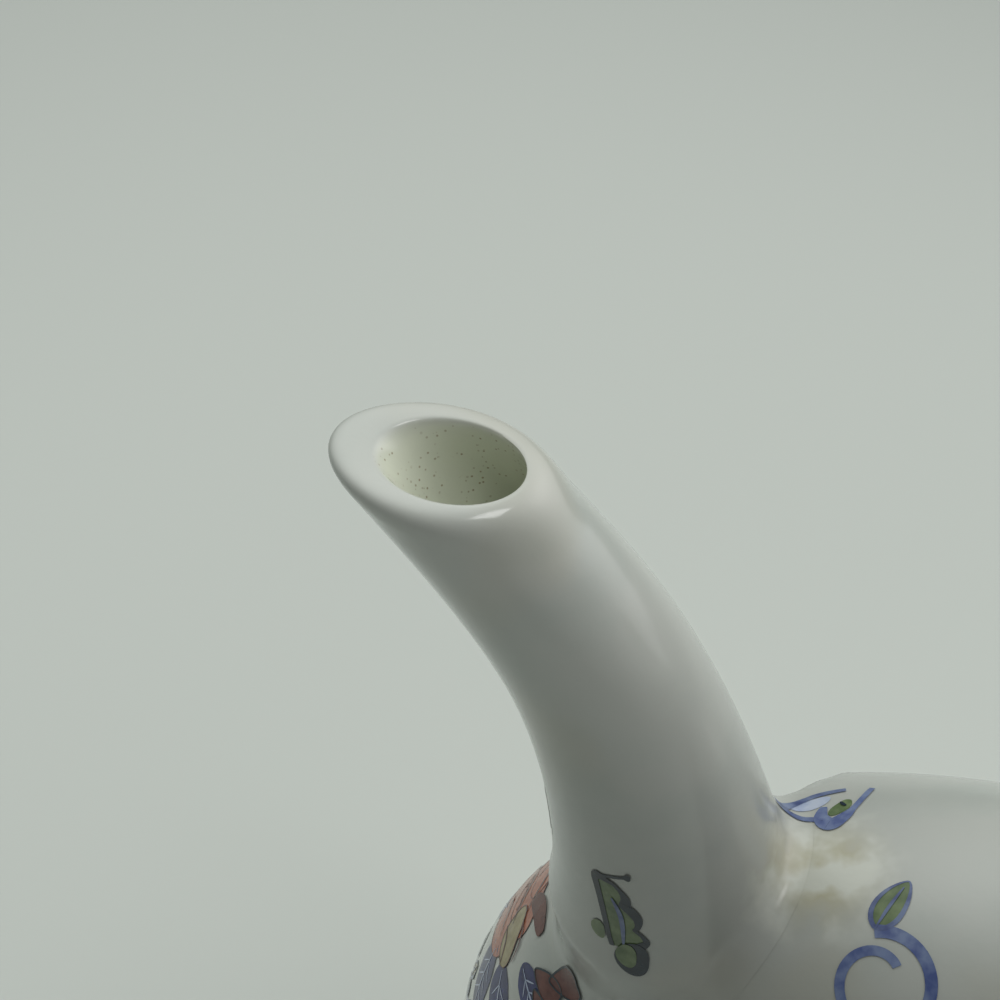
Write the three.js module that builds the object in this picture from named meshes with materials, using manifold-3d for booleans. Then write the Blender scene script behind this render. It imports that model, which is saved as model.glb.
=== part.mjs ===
// Porcelain ring teapot: a hollow upright ring on an oval foot, with a curved spout whose mouth is
// cut level, an ear handle, a neck and a lifting lid with a knob. Millimetres, +Z up. The ring's
// axis is Y, the spout points to -X and the handle to +X. The origin is on the table, under the
// middle of the whole pot's length.
import * as THREE from 'three';
import { mergeVertices } from 'three/addons/utils/BufferGeometryUtils.js';
import Module from 'manifold-3d';

const wasm = await Module();
wasm.setup();

// Clearances
const SEAT_GAP = 0.3;            // luted pieces and seats lie this far apart
const FLANGE_CLEARANCE = 0.6;    // the lid's flange in the neck, at the radius

// Ring body
const RING_RADIUS = 42.8;        // from the ring's centre to the middle of its tube
const TUBE_RADIUS = 19.2;
const RING_WALL = 2.6;
const RING_LIFT = 6;             // the ring's lowest point above the table

// Foot, an oval collar that is open underneath
const FOOT_RISE = 11;            // the collar's top above the ring's lowest point
const FOOT_LENGTH = 58;
const FOOT_WAIST_INSET = 6;      // how far the waist is drawn in from the rim
const FOOT_TOP_FLARE = 2.4;      // how far the top spreads from the waist
const FOOT_RIM_HEIGHT = 3;
const FOOT_RIM_EDGE = 0.8;       // the rim's chamfer
const FOOT_WALL = 4.5;
const FOOT_DEPTH_RATIO = 0.62;   // the oval's depth along Y over its length

// Spout
const SPOUT_ROOT_ANGLE = 139.7;  // degrees round the ring from +X
const SPOUT_REACH = 26.2;        // from the root's centre out to the mouth's centre
const SPOUT_RISE = 44.15;        // from the root's centre up to where the lip starts to round
const SPOUT_ROOT_LEAN = 17.8;    // degrees from upright at the root
const SPOUT_TIP_LEAN = 48;
const SPOUT_ROOT_PULL = 27;      // how far the curve holds its direction at each end
const SPOUT_TIP_PULL = 13.4;
const SPOUT_ROOT_RADIUS = 11.15;
const SPOUT_TIP_RADIUS = 6.12;
const SPOUT_WAIST = 0.47;        // how much slimmer than an even taper it is halfway up
const SPOUT_FLARE = 1.2;         // extra radius at the very root, fading up the spout
const SPOUT_FLARE_FADE = 3.5;
const SPOUT_ROOT_DEPTH = 20;     // how far the raw spout reaches into the ring before it is cut
const BORE_ROOT_RADIUS = 7.2;
const BORE_TIP_RADIUS = 3.9;
const LIP_FRONT_EXTRA = 0.95;    // how much further the front lip stands out
const LIP_PULL = 2.5;            // how far the lip carries on in the spout's direction outside
const LIP_FLAT = 1.9;            // and how far its top stays flat from the bore's edge
const MOUTH_LENGTH = 11.6;       // the bore's oval edge
const MOUTH_WIDTH = 8.2;
const MOUTH_TILT = 9.3;          // degrees by which that edge rises to the rear
const MOUTH_FORWARD = 1.7;       // its middle from the end of the spout's line
const MOUTH_RISE = 2.7;
const MOUTH_BLEND = 0.6;         // share of the spout where its sections start to turn level

// Strainer in the ring's wall at the spout's root
const STRAINER_WALL = 2;
const STRAINER_HOLE_RADIUS = 1.1;
const STRAINER_HOLE_CIRCLE = 4.2;
const STRAINER_HOLES = 6;        // round the one in the middle
const THROAT_IN = 14;            // the throat's reach into the ring and out of it
const THROAT_OUT = 20;

// Handle
const HANDLE_TOP_ANGLE = 38;     // degrees round the ring from +X
const HANDLE_BOTTOM_ANGLE = -30;
const HANDLE_TOP_RISE = 25;      // degrees above level at which it leaves each root
const HANDLE_BOTTOM_RISE = 12;
const HANDLE_TOP_PULL = 66;      // how far the curve holds its direction at each root
const HANDLE_BOTTOM_PULL = 58;
const HANDLE_ROOT_DEPTH = 6;     // how far the raw strap reaches into the ring before it is cut
const HANDLE_SWELL = 2;          // extra half thickness at the roots, fading along the strap
const HANDLE_SWELL_FADE = 4;
const HANDLE_WIDTH = 10.5;       // along Y
const HANDLE_THICKNESS = 7.5;

// Neck
const NECK_RADIUS = 15.5;
const NECK_BORE = 11.5;
const NECK_HEIGHT = 7;           // above the ring's highest point
const NECK_SKIRT = 2;            // how far the neck's foot spreads on the ring
const NECK_LIP = 1.4;            // how far the rolled lip stands out

// Lid
const LID_OVERHANG = 0.4;        // the lid's edge past the neck's lip
const LID_EDGE = 2.2;
const LID_DOME = 8;
const LID_WALL = 2.4;
const LID_LAND = 4.6;            // radius of the flat that the knob sits on
const FLANGE_WALL = 2.2;
const FLANGE_HEIGHT = 7;
const FLANGE_CHAMFER = 0.6;
const KNOB_RADIUS = 5.6;
const KNOB_NECK = 3.4;
const KNOB_FOOT = 4.2;
const KNOB_STEM = 2.2;           // height of the stem under the bud
const VENT_RADIUS = 0.9;

// Facets
const RING_STEPS = 56;
const TUBE_STEPS = 10;
const SPOUT_STEPS = 14;
const SPOUT_SIDES = 24;
const LIP_STEPS = 5;
const HANDLE_STEPS = 26;
const HANDLE_SIDES = 14;
const ROUND_STEPS = 36;

const ringCentreZ = RING_LIFT + TUBE_RADIUS + RING_RADIUS;
const ringOuter = RING_RADIUS + TUBE_RADIUS;
const ringTop = ringCentreZ + ringOuter;
const neckTop = ringTop + NECK_HEIGHT;
const lidRadius = NECK_RADIUS + NECK_LIP + LID_OVERHANG;
const lidBase = neckTop + SEAT_GAP;
const lidTop = lidBase + LID_EDGE + LID_DOME;
const up = new THREE.Vector3(0, 0, 1);
const side = new THREE.Vector3(0, 1, 0);
const radians = THREE.MathUtils.degToRad;

/** A closed geometry as a manifold solid with its faces pointing out. */
function solid(geometry) {
  const bare = new THREE.BufferGeometry();
  bare.setAttribute('position', geometry.getAttribute('position').clone());
  if (geometry.index) bare.setIndex(geometry.index.clone());
  const merged = mergeVertices(bare, 1e-4);
  const triVerts = new Uint32Array(merged.index.array);
  const kept = [];
  for (let i = 0; i < triVerts.length; i += 3) {
    const [a, b, c] = [triVerts[i], triVerts[i + 1], triVerts[i + 2]];
    if (a !== b && b !== c && c !== a) kept.push(a, b, c);
  }
  const vertProperties = new Float32Array(merged.getAttribute('position').array);
  const closed = () => new wasm.Manifold(
    new wasm.Mesh({ numProp: 3, vertProperties, triVerts: new Uint32Array(kept) }),
  );
  const made = closed();
  if (made.volume() > 0) return made;
  for (let i = 0; i < kept.length; i += 3) [kept[i], kept[i + 1]] = [kept[i + 1], kept[i]];
  return closed();
}

/** A manifold solid as a geometry. */
function geometryOf(made) {
  const mesh = made.getMesh();
  const geometry = new THREE.BufferGeometry();
  geometry.setAttribute('position', new THREE.BufferAttribute(new Float32Array(mesh.vertProperties), 3));
  geometry.setIndex(new THREE.BufferAttribute(new Uint32Array(mesh.triVerts), 1));
  geometry.computeVertexNormals();
  return geometry;
}

/** A lathe of (radius, height) pairs about Z. */
function turned(pairs, steps = ROUND_STEPS) {
  const lathe = new THREE.LatheGeometry(pairs.map(([r, z]) => new THREE.Vector2(r, z)), steps);
  return lathe.rotateX(Math.PI / 2);
}

/** Points of an arc as (x, y) pairs. */
function arc(cx, cy, radius, from, to, steps) {
  return Array.from({ length: steps + 1 }, (_, i) => {
    const angle = from + ((to - from) * i) / steps;
    return [cx + radius * Math.cos(angle), cy + radius * Math.sin(angle)];
  });
}

/** A full torus round the ring's axis with the given tube radius, as a solid. */
function torus(tubeRadius) {
  const geometry = new THREE.TorusGeometry(RING_RADIUS, tubeRadius, 2 * TUBE_STEPS, RING_STEPS);
  return solid(geometry.rotateX(Math.PI / 2).translate(0, 0, ringCentreZ));
}

/** A cylinder along a direction in the XZ plane, centred on a point. */
function rod(radius, length, point, direction) {
  const geometry = new THREE.CylinderGeometry(radius, radius, length, 24);
  const turn = new THREE.Quaternion().setFromUnitVectors(new THREE.Vector3(0, 1, 0), direction);
  return solid(geometry.applyQuaternion(turn).translate(point.x, point.y, point.z));
}

/** The point on the ring's outer rim at an angle in degrees. */
function rimPoint(angle, radius = ringOuter) {
  const a = radians(angle);
  return new THREE.Vector3(radius * Math.cos(a), 0, ringCentreZ + radius * Math.sin(a));
}

const leanDirection = (lean) => new THREE.Vector3(-Math.sin(radians(lean)), 0, Math.cos(radians(lean)));
const spoutRoot = rimPoint(SPOUT_ROOT_ANGLE);
const spoutTip = new THREE.Vector3(spoutRoot.x - SPOUT_REACH, 0, spoutRoot.z + SPOUT_RISE);
const spoutLine = new THREE.CubicBezierCurve3(
  spoutRoot,
  spoutRoot.clone().addScaledVector(leanDirection(SPOUT_ROOT_LEAN), SPOUT_ROOT_PULL),
  spoutTip.clone().addScaledVector(leanDirection(SPOUT_TIP_LEAN), -SPOUT_TIP_PULL),
  spoutTip,
);
const spoutRootDirection = spoutLine.getTangent(0);

/** The rings of a tube along the spout, from inside the ring body to where the lip starts to round. */
function spoutRings(radiusAt, frontExtra) {
  const length = spoutLine.getLength();
  const rings = [];
  for (let i = -1; i <= SPOUT_STEPS; i += 1) {
    const t = Math.max(0, i / SPOUT_STEPS);
    const centre = spoutLine.getPointAt(t);
    const tangent = spoutLine.getTangentAt(t);
    if (i < 0) centre.addScaledVector(spoutRootDirection, -SPOUT_ROOT_DEPTH);
    const blend = THREE.MathUtils.smoothstep(t, MOUTH_BLEND, 1);
    const normal = tangent.clone().lerp(up, blend).normalize();
    const across = new THREE.Vector3().crossVectors(side, normal).normalize();
    const radius = radiusAt(t, i < 0 ? 0 : t * length);
    const stretch = 1 / normal.dot(tangent);
    const ring = [];
    for (let k = 0; k < SPOUT_SIDES; k += 1) {
      const angle = (2 * Math.PI * k) / SPOUT_SIDES;
      const front = Math.max(0, -Math.cos(angle)) ** 2 * frontExtra * blend;
      ring.push(centre.clone()
        .addScaledVector(across, Math.cos(angle) * radius * stretch - front)
        .addScaledVector(side, Math.sin(angle) * radius));
    }
    rings.push(ring);
  }
  return rings;
}

/** The bore's oval edge at the mouth. */
function mouthRing() {
  const tilt = radians(MOUTH_TILT);
  const along = new THREE.Vector3(Math.cos(tilt), 0, Math.sin(tilt));
  const centre = spoutTip.clone().add(new THREE.Vector3(-MOUTH_FORWARD, 0, MOUTH_RISE));
  return Array.from({ length: SPOUT_SIDES }, (_, k) => {
    const angle = (2 * Math.PI * k) / SPOUT_SIDES;
    return centre.clone()
      .addScaledVector(along, Math.cos(angle) * MOUTH_LENGTH / 2)
      .addScaledVector(side, Math.sin(angle) * MOUTH_WIDTH / 2);
  });
}

/** The level direction from the mouth's middle at a place round it. */
function outwardAt(k) {
  const angle = (2 * Math.PI * k) / SPOUT_SIDES;
  return new THREE.Vector3(MOUTH_WIDTH * Math.cos(angle), MOUTH_LENGTH * Math.sin(angle), 0).normalize();
}

/** The rounded lip's rings, over the top from the outer ring to the bore's edge. */
function lipRings(outer, edge) {
  const heading = leanDirection(SPOUT_TIP_LEAN);
  const curves = outer.map((point, k) => new THREE.CubicBezierCurve3(
    point,
    point.clone().addScaledVector(heading, LIP_PULL),
    edge[k].clone().addScaledVector(outwardAt(k), LIP_FLAT),
    edge[k],
  ));
  return Array.from({ length: LIP_STEPS }, (_, j) => (
    curves.map((curve) => curve.getPoint((j + 1) / (LIP_STEPS + 1)))));
}

/** A closed tube through rings of equal count, each a list of points. The last ring meets the first. */
function loopOfRings(rings) {
  const sides = rings[0].length;
  const position = rings.flat().flatMap((p) => [p.x, p.y, p.z]);
  const index = [];
  for (let i = 0; i < rings.length; i += 1) {
    const next = (i + 1) % rings.length;
    for (let k = 0; k < sides; k += 1) {
      const [a, b] = [i * sides + k, i * sides + ((k + 1) % sides)];
      const [c, d] = [next * sides + ((k + 1) % sides), next * sides + k];
      index.push(a, b, c, a, c, d);
    }
  }
  const geometry = new THREE.BufferGeometry();
  geometry.setAttribute('position', new THREE.Float32BufferAttribute(position, 3));
  geometry.setIndex(index);
  return geometry;
}

const flareAt = (along) => SPOUT_FLARE * Math.exp(-along / SPOUT_FLARE_FADE);
const spoutTaper = (t) => (
  THREE.MathUtils.lerp(SPOUT_ROOT_RADIUS, SPOUT_TIP_RADIUS, t) - 4 * SPOUT_WAIST * t * (1 - t));
const spoutOuterRadius = (t, along) => spoutTaper(t) + flareAt(along);
const spoutBoreRadius = (t) => THREE.MathUtils.lerp(BORE_ROOT_RADIUS, BORE_TIP_RADIUS, t);
const ringCut = torus(TUBE_RADIUS + SEAT_GAP);

/** A rod along the spout's root direction through the ring's wall. */
const throatRod = (radius, point = spoutRoot) => rod(
  radius,
  THROAT_OUT + THROAT_IN,
  point.clone().addScaledVector(spoutRootDirection, (THROAT_OUT - THROAT_IN) / 2),
  spoutRootDirection,
);

/** One half of the ring's hollow shell, on the side of the given sign of Y. */
function ringHalf(side) {
  const inner = TUBE_RADIUS - RING_WALL;
  const outerArc = arc(RING_RADIUS, 0, TUBE_RADIUS, 0, side * Math.PI, TUBE_STEPS);
  const innerArc = arc(RING_RADIUS, 0, inner, side * Math.PI, 0, TUBE_STEPS);
  const profile = [...outerArc, ...innerArc, outerArc[0]].map(([r, y]) => new THREE.Vector2(r, y));
  const seamPoints = [0, TUBE_STEPS, TUBE_STEPS + 1, 2 * TUBE_STEPS + 1, 2 * TUBE_STEPS + 2];
  for (const end of seamPoints) profile[end].y = 0;
  const shell = solid(new THREE.LatheGeometry(profile, RING_STEPS).translate(0, 0, ringCentreZ));
  const neckHole = rod(NECK_BORE, 2 * TUBE_RADIUS, rimPoint(90), up);
  return shell.subtract(neckHole).subtract(throatRod(BORE_ROOT_RADIUS));
}

/** The spout with its bore, cut to sit on the ring. */
function spout() {
  const outer = spoutRings(spoutOuterRadius, LIP_FRONT_EXTRA);
  const bore = [mouthRing(), ...spoutRings(spoutBoreRadius, 0).reverse().slice(1)];
  const lip = lipRings(outer[outer.length - 1], bore[0]);
  return solid(loopOfRings([...outer, ...lip, ...bore])).subtract(ringCut);
}

/** The pierced wall inside the spout's root. */
function strainer() {
  const outside = TUBE_RADIUS - SEAT_GAP;
  const disc = torus(outside).subtract(torus(outside - STRAINER_WALL))
    .intersect(throatRod(BORE_ROOT_RADIUS - SEAT_GAP));
  const across = new THREE.Vector3().crossVectors(side, spoutRootDirection);
  const places = [spoutRoot];
  for (let i = 0; i < STRAINER_HOLES; i += 1) {
    const angle = (2 * Math.PI * i) / STRAINER_HOLES;
    places.push(spoutRoot.clone()
      .addScaledVector(across, STRAINER_HOLE_CIRCLE * Math.cos(angle))
      .addScaledVector(side, STRAINER_HOLE_CIRCLE * Math.sin(angle)));
  }
  return places.reduce(
    (left, place) => left.subtract(throatRod(STRAINER_HOLE_RADIUS, place)),
    disc,
  );
}

/** A capped tube through open rings of equal count. */
function cappedRings(rings) {
  const sides = rings[0].length;
  const centres = [rings[0], rings[rings.length - 1]].map((ring) => ring
    .reduce((sum, point) => sum.add(point), new THREE.Vector3())
    .divideScalar(sides));
  const position = [...rings.flat(), ...centres].flatMap((p) => [p.x, p.y, p.z]);
  const [first, last] = [rings.length * sides, rings.length * sides + 1];
  const index = [];
  for (let k = 0; k < sides; k += 1) {
    const next = (k + 1) % sides;
    const end = (rings.length - 1) * sides;
    index.push(first, next, k, last, end + k, end + next);
    for (let i = 0; i < rings.length - 1; i += 1) {
      const [a, b] = [i * sides + k, i * sides + next];
      const [c, d] = [(i + 1) * sides + next, (i + 1) * sides + k];
      index.push(a, b, c, a, c, d);
    }
  }
  const geometry = new THREE.BufferGeometry();
  geometry.setAttribute('position', new THREE.Float32BufferAttribute(position, 3));
  geometry.setIndex(index);
  return geometry;
}

/** The ear handle, an oval strap that thickens towards its roots, cut to sit on the ring. */
function handle() {
  const rootRadius = ringOuter - HANDLE_ROOT_DEPTH;
  const top = rimPoint(HANDLE_TOP_ANGLE, rootRadius);
  const bottom = rimPoint(HANDLE_BOTTOM_ANGLE, rootRadius);
  const away = (rise) => new THREE.Vector3(Math.cos(radians(rise)), 0, Math.sin(radians(rise)));
  const line = new THREE.CubicBezierCurve3(
    top,
    top.clone().addScaledVector(away(HANDLE_TOP_RISE), HANDLE_TOP_PULL),
    bottom.clone().addScaledVector(away(HANDLE_BOTTOM_RISE), HANDLE_BOTTOM_PULL),
    bottom,
  );
  const length = line.getLength();
  const rings = [];
  for (let i = 0; i <= HANDLE_STEPS; i += 1) {
    const t = i / HANDLE_STEPS;
    const across = new THREE.Vector3().crossVectors(side, line.getTangentAt(t)).normalize();
    const fromRoot = Math.max(0, Math.min(t, 1 - t) * length - HANDLE_ROOT_DEPTH);
    const swell = HANDLE_SWELL * Math.exp(-fromRoot / HANDLE_SWELL_FADE);
    const ring = [];
    for (let k = 0; k < HANDLE_SIDES; k += 1) {
      const angle = (2 * Math.PI * k) / HANDLE_SIDES;
      ring.push(line.getPointAt(t)
        .addScaledVector(across, Math.cos(angle) * (HANDLE_THICKNESS / 2 + swell))
        .addScaledVector(side, Math.sin(angle) * (HANDLE_WIDTH / 2 + swell)));
    }
    rings.push(ring);
  }
  return solid(cappedRings(rings)).subtract(ringCut);
}

/** The oval foot: a waisted collar, open underneath and cut to cradle the ring. */
function foot() {
  const rim = FOOT_LENGTH / 2;
  const waist = rim - FOOT_WAIST_INSET;
  const top = RING_LIFT + FOOT_RISE;
  const mid = (FOOT_RIM_HEIGHT + top) / 2;
  const slope = (mid - FOOT_RIM_HEIGHT) / 2;
  const outside = [
    [rim - FOOT_RIM_EDGE, 0], [rim, FOOT_RIM_EDGE], [rim, FOOT_RIM_HEIGHT],
    [THREE.MathUtils.lerp(rim, waist, 0.75), FOOT_RIM_HEIGHT + slope], [waist, mid],
    [waist + FOOT_TOP_FLARE / 4, (mid + top) / 2], [waist + FOOT_TOP_FLARE, top],
  ];
  const hollow = waist - FOOT_WALL;
  const inside = [[hollow, top], [hollow, FOOT_RIM_HEIGHT], [rim - FOOT_WALL - FOOT_RIM_EDGE, 0]];
  return solid(turned([...outside, ...inside, outside[0]]).scale(1, FOOT_DEPTH_RATIO, 1)).subtract(ringCut);
}

/** The neck with its rolled lip, cut to sit on the ring. */
function neck() {
  const rawBase = ringTop - TUBE_RADIUS;
  const roll = NECK_LIP;
  const profile = [
    [NECK_BORE, rawBase], [NECK_RADIUS + NECK_SKIRT, rawBase],
    [NECK_RADIUS + NECK_SKIRT / 2, THREE.MathUtils.lerp(rawBase, ringTop, 0.7)], [NECK_RADIUS, ringTop],
    [NECK_RADIUS, neckTop - 2 * roll - 0.6], ...arc(NECK_RADIUS, neckTop - roll, roll, -0.9, Math.PI / 2, 5),
    [NECK_BORE, neckTop], [NECK_BORE, rawBase],
  ];
  return solid(turned(profile)).subtract(ringCut);
}

/** The lid's height above its base at a radius, on the outside of the dome. */
function domeHeight(radius) {
  const crown = (r) => Math.sqrt(Math.max(0, 1 - (r / lidRadius) ** 2));
  return LID_EDGE + LID_DOME * Math.min(1, crown(radius) / crown(LID_LAND));
}

/** The lid's domed shell with its vent. */
function lidDome() {
  const steps = 9;
  const innerEdge = NECK_BORE - FLANGE_CLEARANCE - FLANGE_WALL / 2;
  const outer = [];
  const inner = [];
  for (let i = 0; i <= steps; i += 1) {
    const angle = (i / steps) * (Math.PI / 2);
    const r = LID_LAND + (lidRadius - LID_LAND) * Math.cos(angle);
    outer.push([r, lidBase + domeHeight(r)]);
    const q = VENT_RADIUS + (innerEdge - VENT_RADIUS) * Math.cos(angle);
    inner.unshift([q, lidBase + domeHeight(q) - LID_WALL]);
  }
  const profile = [
    [innerEdge, lidBase + LID_EDGE], [innerEdge, lidBase], [lidRadius - 0.6, lidBase],
    [lidRadius, lidBase + 0.6], ...outer, [VENT_RADIUS, lidTop], ...inner, [innerEdge, lidBase + LID_EDGE],
  ];
  return solid(turned(profile)).subtract(solid(flangeBody(SEAT_GAP)));
}

/** The flange's ring, grown by a clearance where the dome is cut for it. */
function flangeBody(grow) {
  const outside = NECK_BORE - FLANGE_CLEARANCE + grow;
  const inside = NECK_BORE - FLANGE_CLEARANCE - FLANGE_WALL - grow;
  const base = lidBase - FLANGE_HEIGHT - grow;
  const top = lidBase + LID_EDGE + grow;
  return turned([
    [inside, base], [outside - FLANGE_CHAMFER, base], [outside, base + FLANGE_CHAMFER],
    [outside, top], [inside, top], [inside, base],
  ]);
}

/** The flange that locates the lid in the neck, luted into the dome's underside. */
const lidFlange = () => solid(flangeBody(0));

/** The bud-shaped knob with the vent through it. */
function lidKnob() {
  const base = lidTop + SEAT_GAP;
  const start = -Math.acos(KNOB_NECK / KNOB_RADIUS);
  const middle = base + KNOB_STEM - KNOB_RADIUS * Math.sin(start);
  const profile = [
    [VENT_RADIUS, base], [KNOB_FOOT, base], [KNOB_NECK, base + KNOB_STEM / 2],
    ...arc(0, middle, KNOB_RADIUS, start, Math.acos(VENT_RADIUS / KNOB_RADIUS), 9), [VENT_RADIUS, base],
  ];
  return solid(turned(profile));
}

const glaze = () => new THREE.MeshStandardMaterial({ color: 0xe6e8e2, roughness: 0.12, metalness: 0 });
const biscuit = () => new THREE.MeshStandardMaterial({ color: 0xcfc7ae, roughness: 0.6, metalness: 0 });

const pieces = {
  ring_front: [ringHalf(-1), glaze()],
  ring_rear: [ringHalf(1), glaze()],
  foot: [foot(), glaze()],
  spout: [spout(), glaze()],
  spout_strainer: [strainer(), biscuit()],
  handle: [handle(), glaze()],
  neck: [neck(), glaze()],
  lid_dome: [lidDome(), glaze()],
  lid_flange: [lidFlange(), biscuit()],
  lid_knob: [lidKnob(), glaze()],
};
const ends = Object.values(pieces).map(([made]) => made.boundingBox());
const middleX = (Math.min(...ends.map((box) => box.min[0])) + Math.max(...ends.map((box) => box.max[0]))) / 2;
const teapot = new THREE.Group();
for (const [name, [made, material]] of Object.entries(pieces)) {
  const mesh = new THREE.Mesh(geometryOf(made).translate(-middleX, 0, 0), material);
  mesh.name = name;
  teapot.add(mesh);
}

export default teapot;
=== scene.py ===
"""Porcelain ring teapot: a glazed hollow ring with a spout, handle, neck, foot and lid.

Every length is in metres and in the CAD frame. The ring stands upright with its axis along Y,
the spout points to -X and the lid lifts along +Z.
"""
import logging
import math
import random
from collections.abc import Callable, Iterable, Sequence
from dataclasses import dataclass, field
from enum import Enum

import bmesh
import bpy
from mathutils import Matrix, Vector
from mathutils.bvhtree import BVHTree


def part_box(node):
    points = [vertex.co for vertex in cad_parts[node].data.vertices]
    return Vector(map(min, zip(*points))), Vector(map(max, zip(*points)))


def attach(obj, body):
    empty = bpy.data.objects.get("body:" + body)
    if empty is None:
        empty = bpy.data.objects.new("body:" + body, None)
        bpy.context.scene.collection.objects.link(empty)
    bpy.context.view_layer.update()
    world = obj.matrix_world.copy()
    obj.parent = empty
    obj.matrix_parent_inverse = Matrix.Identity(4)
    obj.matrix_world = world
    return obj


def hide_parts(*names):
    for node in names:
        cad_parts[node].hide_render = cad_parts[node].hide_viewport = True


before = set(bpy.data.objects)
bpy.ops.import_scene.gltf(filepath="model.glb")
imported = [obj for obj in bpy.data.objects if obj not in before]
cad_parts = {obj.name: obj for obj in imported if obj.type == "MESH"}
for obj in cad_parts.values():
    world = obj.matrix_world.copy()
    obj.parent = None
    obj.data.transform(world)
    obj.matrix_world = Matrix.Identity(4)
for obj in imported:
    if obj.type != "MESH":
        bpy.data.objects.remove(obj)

LOG = logging.getLogger("ring_teapot")
MM = 0.001
UP = Vector((0.0, 0.0, 1.0))
SIDE = Vector((0.0, 1.0, 0.0))
SHARP_FROM = 48.0  # degrees between two faces
DOUBLES = 1e-7  # metres between vertices that become one
HALVINGS = 40  # steps of a search for a height

Socket = bpy.types.NodeSocket
Material = bpy.types.Material
Piece = bpy.types.Object
Mesh = bmesh.types.BMesh
Rgba = tuple[float, float, float, float]
Ring = list[Vector]
Given = Socket | float | Sequence[float]  # what a node's input takes
Outline = Callable[[float], tuple[float, float]]  # a point in millimetres at an angle or a share
Width = Callable[[float], float]  # millimetres at a share


def srgb(red: int, green: int, blue: int) -> Rgba:
    """Turn a screen colour into a linear one.

    Args:
        red: Red from 0 to 255.
        green: Green from 0 to 255.
        blue: Blue from 0 to 255.

    Returns:
        The linear colour with full alpha.
    """
    shares = [value / 255 for value in (red, green, blue)]
    linear = [s / 12.92 if s <= 0.04045 else ((s + 0.055) / 1.055) ** 2.4 for s in shares]
    return (linear[0], linear[1], linear[2], 1.0)


class Body(Enum):
    """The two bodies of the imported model."""

    POT = "pot"
    LID = "lid"


class Slot(Enum):
    """The record's material slots."""

    GLAZE = "glaze"
    BISCUIT = "biscuit"


# Finishes


class Wiring:
    """A node tree and short ways to add joined nodes to it."""

    def __init__(self, tree: bpy.types.NodeTree) -> None:
        """Start on a tree."""
        self.tree = tree
        self.shader = tree.nodes.get("Principled BSDF")
        self.coords = self.add("ShaderNodeTexCoord").outputs

    @classmethod
    def start(cls, name: str, constants: dict[str, float]) -> tuple[Material, "Wiring"]:
        """Start a material.

        Args:
            name: The material's name.
            constants: Values on its shader's own sockets.

        Returns:
            The material and the wiring of its nodes.
        """
        material = bpy.data.materials.new(name)
        material.use_nodes = True
        wiring = cls(material.node_tree)
        for socket, value in constants.items():
            wiring.feed(socket, value)
        return material, wiring

    def feed(self, socket: str, given: Given) -> None:
        """Feed one of the shader's sockets."""
        self._join(given, self.shader.inputs[socket])

    def _join(self, given: Given, socket: Socket) -> None:
        """Give an input a node's output or a constant."""
        if isinstance(given, Socket):
            self.tree.links.new(given, socket)
        else:
            socket.default_value = given

    def add(self, kind: str, inputs: dict[str | int, Given] | None = None, **settings: object) -> bpy.types.Node:
        """Add a node.

        Args:
            kind: The node's kind.
            inputs: What each of its inputs takes.
            settings: The node's own settings.

        Returns:
            The node.
        """
        node = self.tree.nodes.new(kind)
        for name, value in settings.items():
            setattr(node, name, value)
        for name, given in (inputs or {}).items():
            self._join(given, node.inputs[name])
        return node

    def noise(self, scale: float, detail: float) -> Socket:
        """Noise on the object's own coordinates."""
        inputs = {"Vector": self.coords["Object"], "Scale": scale, "Detail": detail}
        return self.add("ShaderNodeTexNoise", inputs).outputs["Fac"]

    def ranged(
        self, value: Given, low: float, high: float, bottom: float = 0.0, top: float = 1.0, smooth: bool = False,
    ) -> Socket:
        """Spread a range of a value over another range.

        Args:
            value: The value.
            low: What becomes bottom.
            high: What becomes top.
            bottom: What low becomes.
            top: What high becomes.
            smooth: True eases both ends.

        Returns:
            The new value.
        """
        inputs = {"Value": value, "From Min": low, "From Max": high, "To Min": bottom, "To Max": top}
        curve = "SMOOTHSTEP" if smooth else "LINEAR"
        return self.add("ShaderNodeMapRange", inputs, interpolation_type=curve).outputs["Result"]

    def blend(self, factor: Given, first: Given, second: Given, kind: str = "MIX") -> Socket:
        """A mix of two colours."""
        inputs = {"Factor": factor, "A": first, "B": second}
        return self.add("ShaderNodeMix", inputs, data_type="RGBA", blend_type=kind).outputs["Result"]

    def number(self, operation: str, *given: Given) -> Socket:
        """A calculation with numbers."""
        return self.add("ShaderNodeMath", dict(enumerate(given)), operation=operation).outputs["Value"]

    def vector(self, operation: str, *given: Given, output: str = "Value") -> Socket:
        """A calculation with vectors."""
        return self.add("ShaderNodeVectorMath", dict(enumerate(given)), operation=operation).outputs[output]

    def scaled(self, colour: Sequence[float], by: Given) -> Socket:
        """A colour made brighter or darker."""
        return self.add("ShaderNodeVectorMath", {0: colour, "Scale": by}, operation="SCALE").outputs["Vector"]


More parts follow.
